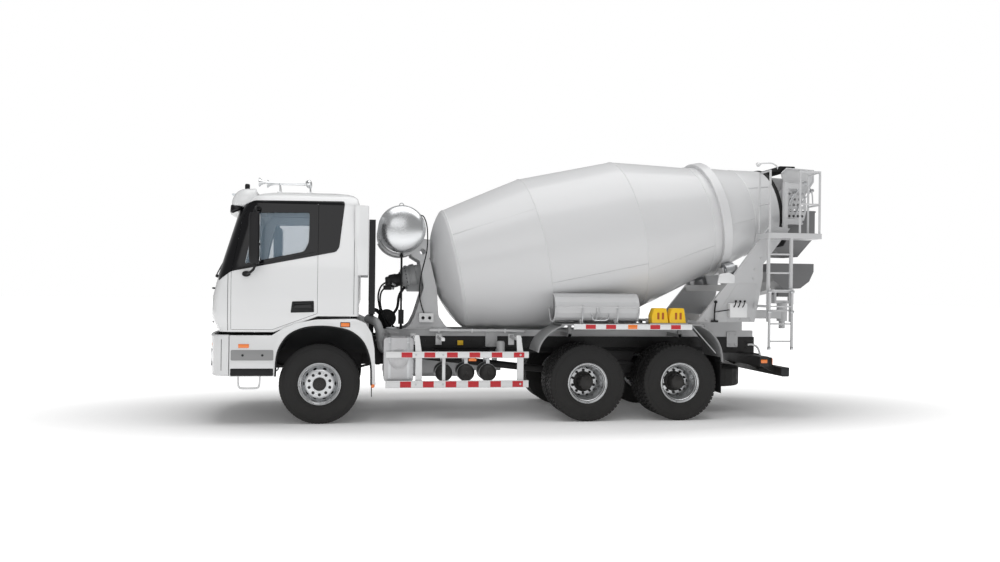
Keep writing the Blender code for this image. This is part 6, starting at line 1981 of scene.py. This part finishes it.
knobs = [spun((x, -0.5, 1.452), (0, -1, 0), [(0, -0.004), (0.024, -0.004), (0.024, 0.01),
    (0.017, 0.024), (0, 0.024)], 24) for x in (1.46, 1.56)]
piece("front_control_knobs", knobs, "chassis", *BLACK_TRIM, bevel=0.002)

# %% Fold the rear pedestal
flange = [(5.66, -0.79, 1.465), (6.17, -0.79, 2.1), (6.42, -0.79, 2.43), (6.78, -0.79, 2.9)]
rear_shapes = both(prism("y", [(x, z) for x, z in shrunk([(5.9, 1.5), (6.46, 1.5), (6.56, 2.02),
    (6.24, 2.02)], 0.0)], -0.826, -0.8205), tube(flange, 0.02, 8, 1))
rear_bolts = []
for x in (5.74, 5.9, 6.1, 6.3, 6.46):
    rear_bolts += bolt((x, -0.821, 1.465), (0, -1, 0), 0.014, 0.012)
for x, z in ((6.5, 2.1), (6.52, 2.24), (6.62, 2.42), (6.74, 2.56), (6.88, 2.74)):
    rear_bolts += bolt((x, -0.821, z), (0, -1, 0), 0.014, 0.012)
rear_shapes += both(*rear_bolts)
piece("rear_stand_ribs", rear_shapes, "chassis", *PALE_GREY, bevel=0.002)
piece("rear_control_box", [prism("y", rounded(box_outline(6.08, 6.36, 1.5, 1.72), 0.02), -0.93,
    -0.827)], "chassis", *WHITE, bevel=0.008)
lever_shapes = [tube([(5.86, -0.86, 1.44), (5.865, -0.86, 1.6), (5.88, -0.86, 1.72)], 0.012, 10,
    3), ball((5.882, -0.86, 1.735), 0.026), tube([(5.865, -0.86, 1.58), (5.98, -0.88, 1.6),
    (6.1, -0.9, 1.62)], 0.008, 8, 3), slab(5.82, 5.91, -0.89, -0.825, 1.425, 1.455)]
for k in range(3):
    lever_shapes.append(tube([(6.14 + 0.07 * k, -0.93, 1.66), (6.142 + 0.07 * k, -0.965, 1.69),
        (6.146 + 0.07 * k, -0.985, 1.74)], 0.008, 8, 3))
    lever_shapes.append(ball((6.146 + 0.07 * k, -0.985, 1.75), 0.018))
piece("rear_levers", lever_shapes, "chassis", *BLACK_TRIM)
roller_boxes = both(prism("y", rounded([(5.92, 2.02), (6.2, 2.02), (6.2, 2.14), (6.1, 2.19),
    (5.96, 2.16)], 0.02, 3), -0.826, -0.8))
piece("roller_guards", roller_boxes, "chassis", *WHITE, bevel=0.006)

# %% [markdown]
# ## Hopper, funnel and chutes
# Wet concrete is loaded through the hopper and leaves through the funnel on to the swinging chute.
# The hopper is rolled sheet: a wall of even thickness with a folded rim. Rows of round holes in
# the side plate save weight; they are cut by one row of cylinders.

# %% Trim the hopper
hopper_trim = []
for y in (-0.504, 0.504):
    hopper_trim.append(tube([(7.115, y, 3.78), (7.2, y, 3.86), (7.66, y, 3.84)], 0.012, 10, 1))
    hopper_trim.append(tube([(7.66, y, 3.84), (7.66, y, 3.66), (7.36, y, 3.22)], 0.01, 10, 1))
piece("hopper_rims", hopper_trim, "chassis", *PALE_GREY)
lining_strip = [prism("y", rounded([(7.075, 3.82), (7.12, 3.905), (7.38, 3.905), (7.38, 3.845),
    (7.2, 3.865), (7.13, 3.79)], 0.01, 2), -0.44, 0.44)]
piece("hopper_rubber", lining_strip, "chassis", *SOFT_BLACK, bevel=0.006)
sheet_outline = rounded([(7.115, 2.96), (7.44, 2.96), (7.5, 3.2), (7.47, 3.5), (7.3, 3.56),
    (7.125, 3.52)], 0.03, 3)
holed = gather("hopper_side_sheet", both(prism("y", sheet_outline, -0.592, -0.58)))
hole_cutters = []
for i in range(5):
    for j in range(6):
        x, z = 7.155 + 0.072 * i - 0.018 * (j % 2), 3.01 + 0.088 * j
        if x < 7.46 and z < 3.5:
            hole_cutters.append(spun((x, 0.7, z), (0, -1, 0), [(0, 0), (0.021, 0), (0.021, 1.4),
                (0, 1.4)], 20))
carve_all(holed, hole_cutters)
dress(holed, "chassis", *PALE_GREY, 40)
sheet_arms = both(slab(7.24, 7.28, -0.582, -0.5, 3.33, 3.37), slab(7.36, 7.4, -0.582, -0.5, 3.4,
    3.44), slab(7.24, 7.4, -0.582, -0.555, 3.02, 3.05))
piece("hopper_sheet_arms", sheet_arms, "chassis", *PALE_GREY, bevel=0.003)
work_lamp = [tube([(7.13, -0.4, 3.8), (7.08, -0.42, 3.9), (6.98, -0.44, 3.945), (6.84, -0.45,
    3.94), (6.77, -0.45, 3.925)], 0.012, 10, 4)]
work_lamp.append(spun((6.755, -0.45, 3.918), (-0.9, 0, -0.43), [(0, -0.03), (0.022, -0.03),
    (0.036, 0.0), (0.036, 0.022), (0.03, 0.028), (0, 0.02)], 28))
piece("drum_work_lamp", work_lamp, "chassis", *WHITE)
linkage = [tube([(7.1, -0.63, 2.96), (7.16, -0.63, 3.2), (7.26, -0.63, 3.42), (7.44, -0.63, 3.62)],
    0.014, 10, 4), tube([(7.44, -0.63, 3.62), (7.56, -0.62, 3.5), (7.6, -0.6, 3.3)], 0.01, 8, 4),
    tube([(7.56, -0.62, 3.5), (7.4, -0.61, 3.3), (7.3, -0.6, 3.1)], 0.01, 8, 4)]
linkage += [spun((x, -0.64, z), (0, 1, 0), [(0, -0.012), (0.028, -0.012), (0.028, 0.03),
    (0, 0.03)], 24) for x, z in ((7.1, 2.96), (7.44, 3.62), (7.56, 3.5))]
piece("hopper_linkage", linkage, "chassis", *STEEL, bevel=0.001)

# %% Stiffen the funnel
band_shapes = []
for z, half_y, x0, x1 in ((3.175, 0.566, 7.118, 7.664), (2.775, 0.566, 7.215, 7.664)):
    for side in (-1, 1):
        band_shapes.append(slab(x0, x1, min(side * half_y, side * (half_y - 0.008)),
            max(side * half_y, side * (half_y - 0.008)), z - 0.014, z + 0.014))
    band_shapes.append(slab(x1 - 0.004, x1 + 0.006, -half_y, half_y, z - 0.014, z + 0.014))
piece("funnel_bands", band_shapes, "chassis", worn_grey, "grey_paint", bevel=0.002)

# %% Dress the stored chute
stored = []
for x in (3.305, 3.92, 4.545):
    arc = [(x, -1.03 + 0.212 * math.cos(t), 1.64 - 0.212 * math.sin(t)) for t in (math.pi * k / 24
        for k in range(25))]
    stored.append(tube(arc, 0.013, 8, 1))
for side in (-1, 1):
    stored.append(tube([(3.31, -1.03 + side * 0.208, 1.645), (4.54, -1.03 + side * 0.208, 1.645)],
        0.014, 10, 1))
piece("stored_chute_rims", stored, "chassis", *PALE_GREY)
handle = [tube([(3.83, -1.225, 1.56), (3.835, -1.244, 1.53), (3.86, -1.246, 1.465), (3.96, -1.246,
    1.455), (4.06, -1.246, 1.465), (4.085, -1.244, 1.53), (4.09, -1.225, 1.56)], 0.008, 8, 4)]
handle.append(tube([(3.92, -1.235, 1.66), (3.95, -1.246, 1.6), (3.99, -1.246, 1.5), (3.93, -1.246,
    1.455), (3.9, -1.246, 1.5), (3.93, -1.246, 1.6)], 0.004, 6, 4))
piece("stored_chute_handle", handle, "chassis", *STEEL)
clamps = []
for x in (3.7, 4.22):
    clamps.append(slab(x - 0.03, x + 0.03, -1.2, -0.86, 1.402, 1.425))
    clamps.append(tube([(x, -1.215, 1.41), (x, -1.243, 1.5), (x, -1.243, 1.64), (x, -1.236, 1.67)],
        0.009, 8, 4))
piece("stored_chute_clamps", clamps, "chassis", *STEEL, bevel=0.001)

# %% [markdown]
# ## Platform, ladders and the rear end
# A driver climbs the ladder to look into the drum. The treads have a raised pattern, which is one
# small lozenge repeated; the rear end gets its lamps, the underrun bar's caps and mud flaps.

# %% Dress the ladder and the platform
tread = row_of("deck_pattern", [prism("z", [(6.6, -1.185), (6.625, -1.178), (6.6, -1.171),
    (6.575, -1.178)], 2.7795, 2.7835)], 14, (0.055, 0, 0), pale_grey_paint)
deck_rows = [tread]
for k in range(1, 8):
    other = copied(tread, "deck_pattern_" + str(k))
    for vert in other.data.vertices:
        vert.co.y += 0.045 * k
    deck_rows.append(other)
for obj in deck_rows:
    dress(obj, "chassis", *PALE_GREY)
ladder_caps = []
for x in (6.56, 6.92):
    ladder_caps += [tube([(x, -1.18, 1.46), (x, -1.18, 1.455)], 0.022, 10, 1)]
    for z in (1.62, 1.9, 2.18, 2.46):
        ladder_caps.append(spun((x + (0.021 if x > 6.7 else -0.021), -1.18, z),
            (1 if x > 6.7 else -1, 0, 0), [(0, -0.003), (0.017, -0.003), (0.017, 0.004),
            (0.011, 0.007), (0, 0.007)], 18))
piece("ladder_welds", ladder_caps, "chassis", *PALE_GREY, angle=50)
clamp_shapes = [slab(x - 0.03, x + 0.03, -1.241, -1.205, z - 0.02, z + 0.02) for x in (6.56, 6.92)
    for z in (1.9, 1.6)]
clamp_shapes += [slab(x - 0.02, x + 0.02, -1.24, -1.205, 1.035, 1.075) for x in (6.56, 6.92)]
piece("lower_ladder_clamps", clamp_shapes, "ladder_body", *STEEL, bevel=0.003)

# %% Fit the rear lamps and caps
lamp_shapes, red_shapes, orange_shapes = [], [], []
for side in (-1, 1):
    lo, hi = sorted((side * 1.165, side * 0.8))
    lamp_shapes.append(slab(6.575, 6.645, lo, hi, 0.795, 0.915))
    lo, hi = sorted((side * 1.15, side * 1.02))
    orange_shapes.append(slab(6.64, 6.662, lo, hi, 0.808, 0.902))
    lo, hi = sorted((side * 1.01, side * 0.82))
    red_shapes.append(slab(6.64, 6.662, lo, hi, 0.808, 0.902))
piece("rear_lamp_boxes", lamp_shapes, "chassis", *BLACK_TRIM, bevel=0.006)
piece("rear_lamps_red", red_shapes, "chassis", red_lens, "glass", bevel=0.006)
piece("rear_lamps_orange", orange_shapes + both(prism("y", rounded(box_outline(6.455, 6.555, 0.832,
    0.885), 0.01), -1.1925, -1.18)), "chassis", *ORANGE, bevel=0.004)
cap_shapes = both(prism("y", rounded(box_outline(6.776, 6.904, 0.63, 0.77), 0.02), -1.196, -1.18))
cap_shapes.append(prism("x", rounded(box_outline(-0.26, 0.26, 0.78, 0.9), 0.012), 6.905, 6.915))
piece("underrun_caps", cap_shapes, "chassis", *DARK_TRIM, bevel=0.004)
bend = [tube([(6.6, -0.46, 1.06), (6.68, -0.46, 1.06), (6.76, -0.46, 1.02), (6.8, -0.46, 0.94),
    (6.81, -0.46, 0.86)], 0.016, 12, 5)]
piece("rear_air_pipe", bend, "chassis", *WHITE)
spare_rings = [spun((6.06, 0, 0.552), (0, 0, 1), [(r, 0.125), (r + 0.008, 0.131), (r + 0.016,
    0.125), (r + 0.008, 0.119)], 56) for r in (0.3, 0.36, 0.42, 0.48)]
piece("spare_tyre_rings", spare_rings, "chassis", rubber, "tyre")

# %% [markdown]
# ## Hoses
# Two pressure hoses feed the drum motor and a thin water hose runs down from the tank to the
# control box. Both ends are held in fittings.


# %% Lay the hoses
def hose(name, points, diameter):
    """A hose along a smooth path."""
    line = smooth_path(points, 10)
    obj = gather(name, [tube(line, diameter / 2, 12, 1)])
    dress(obj, "chassis", *SOFT_BLACK, 60)
    return obj


hose("water_hose", [(1.385, -0.66, 2.965), (1.45, -0.66, 2.93), (1.5, -0.64, 2.76), (1.5, -0.6,
    2.45), (1.43, -0.56, 2.12), (1.4, -0.52, 1.85), (1.43, -0.48, 1.66), (1.48, -0.445, 1.515)],
    0.018)
hose("motor_hose_upper", [(1.02, -0.118, 1.95), (0.93, -0.16, 1.975), (0.84, -0.22, 1.91),
    (0.8, -0.28, 1.77), (0.82, -0.33, 1.6), (0.88, -0.36, 1.44), (0.95, -0.365, 1.3)], 0.026)
hose("motor_hose_lower", [(1.0, -0.07, 1.89), (0.92, -0.1, 1.895), (0.85, -0.16, 1.83),
    (0.83, -0.24, 1.7), (0.86, -0.31, 1.54), (0.94, -0.365, 1.4), (1.05, -0.375, 1.3)], 0.026)
fittings = [tube([(1.0, -0.124, 1.957), (1.06, -0.095, 1.935)], 0.021, 16, 1),
    tube([(0.98, -0.077, 1.892), (1.04, -0.055, 1.885)], 0.021, 16, 1), slab(0.92, 1.08, -0.4,
    -0.35, 1.2805, 1.306)]
piece("hose_fittings", fittings, "chassis", *STEEL, bevel=0.003)
outlet = [spun((1.376, -0.66, 2.957), (0.76, 0, 0.64), [(0, -0.012), (0.022, -0.012),
    (0.022, 0.02), (0.015, 0.026), (0, 0.026)], 18)]
piece("tank_outlet", outlet, "chassis", *STEEL)

# %% [markdown]
# ## Paint what is left of the frame
# Parts that keep their CAD shape get a finish of their own as well: cast iron under the floor,
# black on the frame, light grey on the pedestals, darker grey on the worn chutes.

# %% Give each carried-over part its finish
CARRIED = {
    "frame": black_paint,
    "subframe": pale_grey_paint,
    "engine_block": cast_iron,
    "bogie_suspension": cast_iron,
    "rear_axle_front": cast_iron,
    "rear_axle_rear": cast_iron,
    "front_axle": cast_iron,
    "knuckle_left": cast_iron,
    "knuckle_right": cast_iron,
    "tie_rod": cast_iron,
    "rear_pedestal": pale_grey_paint,
    "hopper": pale_grey_paint,
    "discharge_funnel": worn_grey,
    "main_chute": worn_grey,
    "extension_chute": pale_grey_paint,
    "chute_bracket": pale_grey_paint,
    "ladder_platform": pale_grey_paint,
    "ladder_lower": pale_grey_paint,
    "air_intake": black_plastic,
    "rear_underrun": black_paint,
    "spare_wheel": rubber,
}
for name, mat in CARRIED.items():
    node = bpy.data.objects[name]
    node.data.materials.clear()
    node.data.materials.append(mat)
print("carried over", len(CARRIED), "parts of the frame")
